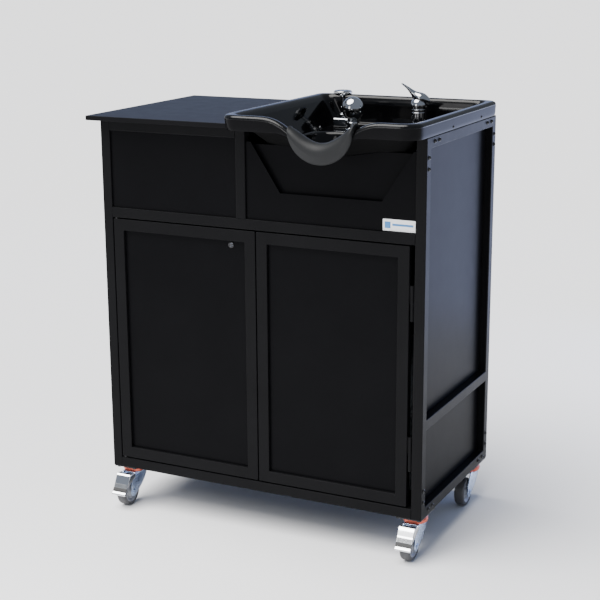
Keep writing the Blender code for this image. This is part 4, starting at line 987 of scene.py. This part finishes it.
def fork(name, axis_y, axle, top):
    """Two pressed cheeks under a domed crown, with the axle's bolt and nut."""
    half = CHEEK_INSIDE + CHEEK
    end = arc((axle.y, axle.z), 0.013, -50, -215, 14)
    back = [(0.027, top), (0.029, 0.08), (0.023, 0.065), (0.008, 0.05), (-0.01, 0.038)]
    outline = [(axis_y - 0.031, top)] + rounded([(axis_y + away, up) for away, up in back], 0.01) + end
    outline += [(axis_y - 0.0475, 0.055), (axis_y - 0.046, 0.064), (axis_y - 0.041, 0.074)]
    shape = Shape()
    for side in (-1, 1):
        shape.prism(outline, "X", axle.x + side * (CHEEK_INSIDE + CHEEK / 2), CHEEK, 0.0005)
    shape.block((axle.x - half, axis_y - 0.031, top - 0.003), (axle.x + half, axis_y + 0.027, top),
        0.0012)
    shape.lathe([(0, 0), (0.0245, 0), (0.0225, -0.0045), (0, -0.0055)], (axle.x, axis_y, top - 0.0029),
        "Z", 40)
    shape.object(f"caster_{name}_cheeks", "zinc", "zinc", f"caster_{name}", 30, f"caster_{name}_fork")
    bolt = Shape().lathe(disc(0.004, -half, half), axle, "X", 20)
    for side in (-1, 1):
        face = axle + Vector((side * half, 0, 0))
        bolt.lathe(disc(0.0078, 0.0, side * 0.0008), face, "X", 28)
        bolt.hex_nut(face + Vector((side * 0.0008, 0, 0)), (side, 0, 0), 0.0064, 0.0021)
    bolt.object(f"caster_{name}_axle_bolt", "zinc", "zinc", f"caster_{name}", 30)


def race(name, axis_x, axis_y):
    """The mounting plate with its four bolts, and the bright bearing race under it."""
    low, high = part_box(f"caster_{name}_plate")
    under = high.z - 0.003
    plate = Shape().block((low.x, low.y, under), high, 0.0009, 2)
    for x in (low.x + 0.009, high.x - 0.009):
        for y in (low.y + 0.01, high.y - 0.01):
            plate.hex_nut((x, y, under), (0, 0, -1), 0.0058, 0.0042)
    plate.object(f"caster_{name}_top_plate", "bolt_black", "zinc", smooth=30,
        stands_for=f"caster_{name}_plate")
    profile = rounded([(0, 0), (0.024, 0), (0.0272, -0.0025), (0.03, -0.0062), (0.0314, -0.01),
        (0.0314, -0.0125), (0.0296, -0.0138), (0.03, low.z - under), (0, low.z - under)], 0.0012)
    Shape().lathe(profile, (axis_x, axis_y, under), "Z", 64).object(f"caster_{name}_race", "copper",
        "zinc", smooth=30)


PEDAL_SPINE = ((-0.049, 0.0915), (-0.054, 0.0908), (-0.0582, 0.0875), (-0.0622, 0.0805),
    (-0.0662, 0.0725), (-0.0702, 0.065), (-0.0738, 0.0572))
LIP_SPINE = ((-0.0782, 0.0488), (-0.0815, 0.0465), (-0.0845, 0.0434), (-0.085, 0.0398), (-0.0822, 0.0386))


def square_to(ahead):
    """The direction square to this one, in the plane of the wheel, that leans away from the post."""
    out = Vector((0, ahead.z, -ahead.y)).normalized()
    return -out if out.y > 0 else out


def ribbon(shape, spine, origin, wide, thick):
    """A flat strip with eased edges, under a spine of (back, up) points."""
    path = smooth_path([(0, y, z) for y, z in spine], 4 * len(spine))
    edge = thick * 0.5
    section = ((-wide + edge, 0), (wide - edge, 0), (wide, edge), (wide - edge, 2 * edge),
        (-wide + edge, 2 * edge), (-wide, edge))
    rings = []
    for index, point in enumerate(path):
        out = square_to(path[min(index + 1, len(path) - 1)] - path[max(index - 1, 0)])
        rings.append([origin + point + Vector((across, 0, 0)) - out * depth for across, depth in section])
    shape.rings(rings)


GRIP_RIBS = 6
PEDAL_PIVOT = (-0.036, 0.082)
# Outline of a black strip filling the groove between the tread and the lip: painted shade where the groove
# falls dark.
GROOVE_SHADE = ((-0.074, 0.057), (-0.0752, 0.056), (-0.08, 0.0488), (-0.0786, 0.047), (-0.073, 0.054))


def pedal(name, axis_x, axis_y):
    """A bright tread plate with a ribbed grip and a rolled lip, on two arms; the groove between tread and
    lip is filled with a black strip as painted shade.
    """
    half = 0.021
    origin = Vector((axis_x, axis_y, 0))
    body = f"pedal_{name}"
    tread = Shape()
    ribbon(tread, PEDAL_SPINE, origin, half, 0.0022)
    ribbon(tread, LIP_SPINE, origin, half, 0.0026)
    pivot = (axis_y + PEDAL_PIVOT[0], PEDAL_PIVOT[1])
    arm = arc(pivot, 0.0062, -60, 90, 10) + [(axis_y - 0.055, 0.0885), (axis_y - 0.0715, 0.0585)]
    width = 0.0016
    for side in (-1, 1):
        tread.prism(arm, "X", axis_x + side * (half - width / 2), width, 0.0003)
        tread.button((axis_x + side * half, *pivot), (side, 0, 0), 0.0036, 0.0001, False)
    tread.object(f"caster_{name}_tread", "chrome", "chrome", body, 30, f"caster_{name}_pedal")
    grip = Shape()
    start = Vector((0, PEDAL_SPINE[-2][0], PEDAL_SPINE[-2][1] + 0.0012))
    end = Vector((0, *PEDAL_SPINE[-1]))
    out = square_to(end - start)
    for number in range(GRIP_RIBS):
        spot = origin + start.lerp(end, number / (GRIP_RIBS - 1)) + out * 0.0001
        grip.cube(spot, (half - 0.0018, 0.0007, 0.0007), 0.0005)
    grip.object(f"caster_{name}_grip", "grip_grey", "zinc", body)
    groove_shade = Shape().prism([(axis_y + y, z) for y, z in GROOVE_SHADE], "X", axis_x, 2 * half - 0.0012)
    groove_shade.object(f"caster_{name}_pedal_groove_shade", "pump_black", "zinc", body)


def casters():
    for name in CASTERS:
        x, y = centre_of(f"caster_{name}_plate").xy
        wheel = centre_of(f"caster_{name}_wheel")
        axle = Vector((wheel.x, wheel.y, WHEEL_RADIUS))
        race(name, x, y)
        fork(name, y, axle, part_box(f"caster_{name}_fork")[1].z)
        tyre_and_rim(name, axle)
        if name.startswith("front"):
            pedal(name, x, y)


# ---------------------------------------------------------------- inside the cabinet
# height over the tank's floor; how far its sides draw in
TANK_LEVELS = ((0, 0.022), (0.002, 0.008), (0.008, 0.001), (0.02, 0), (0.095, 0), (0.102, 0.004),
    (0.11, 0.004), (0.117, 0), (0.205, 0), (0.212, 0.004), (0.22, 0.004), (0.227, 0), (0.318, 0),
    (0.332, 0.002), (0.338, 0.01), (0.34, 0.024))
TANK_NECK = 0.03


def tank(name, look, cap_look):
    """A blow-moulded jerrycan: ribs round its body, a handle, a threaded neck. Returns the neck's top."""
    low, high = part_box(name)
    centre = centre_of(name)
    half = (high - low) / 2
    rings = []
    for up, inset in TANK_LEVELS:
        ring = round_rectangle(centre, half.x - inset, half.y - inset, 0.03, 7)
        rings.append([(x, y, low.z + up) for x, y in ring])
    shape = Shape().rings(rings)
    shoulder = Vector((centre.x, centre.y, high.z - TANK_NECK))
    thread = [(0, -0.004), (0.0225, -0.004), (0.0225, 0.006)]
    for z in (0.008, 0.013, 0.018):
        thread += [(0.0225, z), (0.0238, z + 0.0012), (0.0238, z + 0.0022), (0.0225, z + 0.0034)]
    thread += [(0.0225, TANK_NECK), (0.02, TANK_NECK), (0.02, 0.004), (0, 0.004)]
    shape.lathe(thread, shoulder, "Z", 48)
    grip = offsets(shoulder, (0, -0.105, -0.003), (0, -0.1, 0.018), (0, -0.085, 0.026),
        (0, -0.055, 0.026), (0, -0.04, 0.018), (0, -0.035, -0.003))
    shape.tube(smooth_path(grip, 30), 0.007, 16)
    shape.object(f"{name}_can", look, look, smooth=30, stands_for=name)
    top = Vector((centre.x, centre.y, high.z))
    collar = rounded([(0.0242, -0.012), (0.0285, -0.012), (0.0285, 0.001), (0.0262, 0.0035),
        (0.0165, 0.0035), (0.0165, 0.0008), (0.0242, 0.0008)], 0.0008, closed=True)
    cap = Shape().lathe(collar, top, "Z", 56, looped=True)
    for turn in around(24):
        cap.lathe([(0, -0.011), (0.0011, -0.01), (0.0011, -0.0015), (0, -0.0005)],
            top + Vector((0.0284 * cos(turn), 0.0284 * sin(turn), 0)), "Z", 8)
    cap.object(f"{name}_cap", cap_look, look)
    return top


def hoses(fresh_neck, waste_neck):
    """The waste and spray hoses, and the supply lines between tank, pump, heater and mixer."""
    outlet = cabinet(*DRAIN, 0)
    outlet.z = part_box("drain_tailpiece")[0].z - 0.0003
    route = offsets(outlet, (0, 0, 0), (0, 0, -0.05), (0.02, 0, -0.13))
    route += offsets(waste_neck, (-0.012, 0, 0.14), (0, 0, 0.06), (0, 0, -0.012))
    Shape().tube(smooth_path(route, 260), 0.0149, 24, ribs=(0.005, 0.0016)).object(
        "waste_hose_ribbed", "hose_grey", "hose_grey", smooth=60, stands_for="waste_hose")
    spray = cabinet(*SPRAY, 0)
    spray.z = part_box("spray_hose")[0].z - 0.0012
    shank = cabinet(*MIXER, DECK - MIXER_SHANK - 0.0003)
    beside = Vector((shank.x, shank.y, spray.z))
    route = offsets(spray, (0, 0, 0), (0, 0, -0.03), (0.012, 0.012, -0.075), (0.06, 0.03, -0.105))
    route += offsets(beside, (-0.025, -0.01, -0.08), (0, 0, -0.02))
    route += offsets(shank, (0, 0, -0.03), (0, 0, 0))
    Shape().tube(smooth_path(route, 200), 0.0061, 20, ribs=(0.0032, 0.0005)).object(
        "spray_hose_loop", "chrome", "hose_grey", smooth=60, stands_for="hose_loop")
    supply_lines(fresh_neck, shank)


def supply_lines(fresh_neck, shank):
    low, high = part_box("water_pump")
    inlet = Vector((low.x + 0.03, low.y, low.z + 0.056))
    outlet = Vector((inlet.x, high.y, inlet.z))
    low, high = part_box("water_heater")
    cold = Vector((low.x + 0.06, low.y + 0.07, high.z + 0.014))
    hot = Vector((high.x - 0.06, cold.y, cold.z))
    suction = offsets(fresh_neck, (0, 0, -0.3), (0, 0, -0.05), (0, 0, 0.035), (0.06, -0.04, 0.06),
        (0.15, -0.07, -0.04))
    suction += offsets(inlet, (-0.01, -0.035, 0.12), (0, -0.03, 0.03), (0, -0.018, 0), (0, 0.006, 0))
    feed = offsets(outlet, (0, -0.006, 0), (0, 0.01, 0), (-0.004, 0.024, 0.03), (-0.02, 0.023, 0.15))
    feed += offsets(cold, (0.01, -0.082, -0.044), (0.003, -0.075, 0.016), (0, -0.036, 0.05),
        (0, 0, 0.045), (0, 0, 0))
    supply = offsets(hot, (0, 0, 0), (0, 0, 0.045), (0.02, 0.05, 0.186))
    supply += offsets(shank, (-0.03, 0.018, -0.12), (-0.012, 0.01, -0.02), (-0.011, 0.008, 0.008))
    for name, route in (("suction_line", suction), ("cold_feed_line", feed), ("hot_line", supply)):
        Shape().tube(smooth_path(route, 90), 0.0052, 18).object(name, "hose_grey", "hose_grey")
    clips = Shape()
    clip = rounded([(0.0054, -0.004), (0.0072, -0.004), (0.0072, 0.004), (0.0054, 0.004)], 0.0004,
        closed=True)
    for place, step, axis in ((inlet, (0, -0.006, 0), "Y"), (outlet, (0, 0.006, 0), "Y"),
            (cold, (0, 0, 0.008), "Z"), (hot, (0, 0, 0.008), "Z")):
        clips.lathe(clip, place + Vector(step), axis, 28, looped=True)
    clips.object("hose_clips", "zinc", "zinc", smooth=30)


def heater():
    low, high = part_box("water_heater")
    Shape().block(low, high, 0.016, 8).object("heater_casing", "casing_white", "casing_white",
        stands_for="water_heater")
    dial = Vector((low.x + 0.06, low.y, low.z + 0.075))
    knob = Shape().lathe(rounded([(0, 0), (0.024, 0), (0.024, -0.004), (0.017, -0.006), (0.0155, -0.016),
        (0, -0.017)], 0.001), dial, "Y", 48)
    knob.cube(dial + Vector((0, -0.01675, 0)), (0.0016, 0.00175, 0.014), 0.0008)
    knob.object("heater_dial", "pump_black", "pump_black", smooth=30)
    lamp = Shape().lathe([(0, 0), (0.005, 0), (0.005, -0.0015), (0.0035, -0.0032), (0, -0.0038)],
        dial + Vector((0.055, 0, 0)), "Y", 24)
    lamp.object("heater_lamp", "cap_red", "pump_black")
    half = (high - low) / 2
    ring = round_rectangle((low + high) / 2, half.x + 0.0006, half.y + 0.0006, 0.0165, 6)
    bands = Shape()
    for z in (low.z + 0.035, high.z - 0.035):
        bands.rings([[(x, y, z + up) for x, y in ring] for up in (-0.0012, 0.0012)])
    bands.object("heater_bands", "casing_white", "casing_white", smooth=30)
    unions = Shape()
    profile = rounded([(0, -0.004), (0.0125, -0.004), (0.0125, 0.002), (0.0085, 0.0035), (0.0085, 0.011),
        (0.0065, 0.012), (0.0065, 0.02), (0, 0.02)], 0.0008)
    for x in (low.x + 0.06, high.x - 0.06):
        unions.lathe(profile, (x, low.y + 0.07, high.z), "Z", 36)
    unions.object("heater_unions", "brass", "zinc", smooth=30)


def pump():
    low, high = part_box("water_pump")
    y = (low.y + high.y) / 2
    floor = low.z
    x = low.x + 0.05
    base = Shape().block((low.x, y - 0.035, floor), (high.x - 0.005, y + 0.035, floor + 0.005), 0.001, 2)
    base.block((x - 0.04, y - 0.032, floor + 0.004), (x + 0.015, y + 0.032, floor + 0.0745), 0.006, 5)
    for number in range(5):
        base.cube((x - 0.04, y, floor + 0.018 + number * 0.011), (0.0015, 0.027, 0.002), 0.0012)
    port = mirrored([(0, -0.05), (0.0046, -0.05), (0.007, -0.047), (0.0052, -0.043), (0.007, -0.04),
        (0.0052, -0.036), (0.0085, -0.033)])
    base.lathe(rounded(port, 0.0004), (x - 0.015, y, floor + 0.056), "Y", 32)
    base.object("pump_head", "pump_black", "pump_black", smooth=30, stands_for="water_pump")
    motor = rounded([(0, 0), (0.028, 0), (0.028, 0.05), (0.0268, 0.0515), (0.0268, 0.056),
        (0.028, 0.0575), (0.027, 0.071), (0.022, 0.0745), (0, 0.0755)], 0.001)
    Shape().lathe(motor, (x + 0.014, y, floor + 0.036), "X", 56).object("pump_motor", "zinc",
        "pump_black", smooth=30)


# ---------------------------------------------------------------- camera, light and floor
CAMERA_PLACE = (LEFT + 1.99481, FRONT - 2.89658, BASE + 1.3418)
CAMERA_HEADING = 26.372
CAMERA_DIP = 14.338
CAMERA_ROLL = -0.321


def add_camera():
    data = bpy.data.cameras.new("camera")
    data.lens = 82.94
    data.sensor_width = 36.0
    data.clip_end = 200.0
    made = linked("camera", data)
    turn = Matrix.Rotation(radians(CAMERA_HEADING), 4, "Z")
    turn @= Matrix.Rotation(radians(90 - CAMERA_DIP), 4, "X")
    turn @= Matrix.Rotation(radians(CAMERA_ROLL), 4, "Z")
    made.matrix_world = Matrix.Translation(CAMERA_PLACE) @ turn
    scene.camera = made


# name, place, target, size, energy, colour
AREA_LIGHTS = (
    ("front_soft", (-0.62, -3.2, 1.7), (0.2, 0, 0.4), (0.9, 1.3), 12.0, (1.0, 0.99, 0.98)),
    ("right_blue", (1.45, 1.75, 0.45), (0.40, 0, 0.45), (1.9, 1.1), 15.0, (0.26, 0.40, 1.0)),
    ("back_blue", (-1.75, 3.5, 2.05), (0, 0, 1.0), (3.0, 1.2), 9.0, (0.40, 0.52, 1.0)),
    ("floor_pool", (-0.25, -1.5, 1.1), (-0.25, -1.49, 0), (0.5, 0.9), 14.0, (1.0, 1.0, 1.0)),
)
SUN_DIRECTION = Vector((0.32, 0.34, -1.0))


def aim(light, direction):
    light.rotation_euler = direction.to_track_quat("-Z", "Y").to_euler()


def studio():
    world = bpy.data.worlds.new("studio")
    scene.world = world
    world.use_nodes = True
    background = world.node_tree.nodes["Background"]
    background.inputs["Color"].default_value = (0.76, 0.85, 1.0, 1.0)
    background.inputs["Strength"].default_value = 0.38
    sun = bpy.data.lights.new("soft_sun", "SUN")
    sun.energy = 7.5
    sun.angle = radians(56)
    sun.color = (1.0, 0.985, 0.96)
    aim(linked("soft_sun", sun), SUN_DIRECTION)
    for name, place, target, size, energy, colour in AREA_LIGHTS:
        data = bpy.data.lights.new(name, "AREA")
        data.shape = "RECTANGLE"
        data.size, data.size_y = size
        data.energy = energy
        data.color = colour
        light = linked(name, data)
        light.location = place
        aim(light, Vector(target) - Vector(place))
    mesh = bpy.data.meshes.new("floor")
    shape = bmesh.new()
    bmesh.ops.create_circle(shape, cap_ends=True, radius=60.0, segments=96)
    shape.to_mesh(mesh)
    shape.free()
    floor = linked("floor", mesh)
    pale = bpy.data.materials.new("pale_floor")
    pale.use_nodes = True
    shader = pale.node_tree.nodes["Principled BSDF"]
    shader.inputs["Base Color"].default_value = (0.86, 0.86, 0.87, 1)
    shader.inputs["Roughness"].default_value = 0.9
    shader.inputs["Specular IOR Level"].default_value = 0.1
    mesh.materials.append(pale)
    floor.location.z = cad_bounds[0][2] - 0.0002


add_camera()
studio()
carry_over_finishes()
side_bolts()
panel_screws()
weld_beads()
label()
hinge_screws()
lock()
pivot_pins()
basin()
splash_panel()
neck_rest()
drain()
mixer()
vacuum_breaker()
hand_spray()
casters()
heater()
pump()
fresh_neck = tank("fresh_tank", "tank_white", "cap_blue")
waste_neck = tank("waste_tank", "tank_grey", "cap_red")
hoses(fresh_neck, waste_neck)
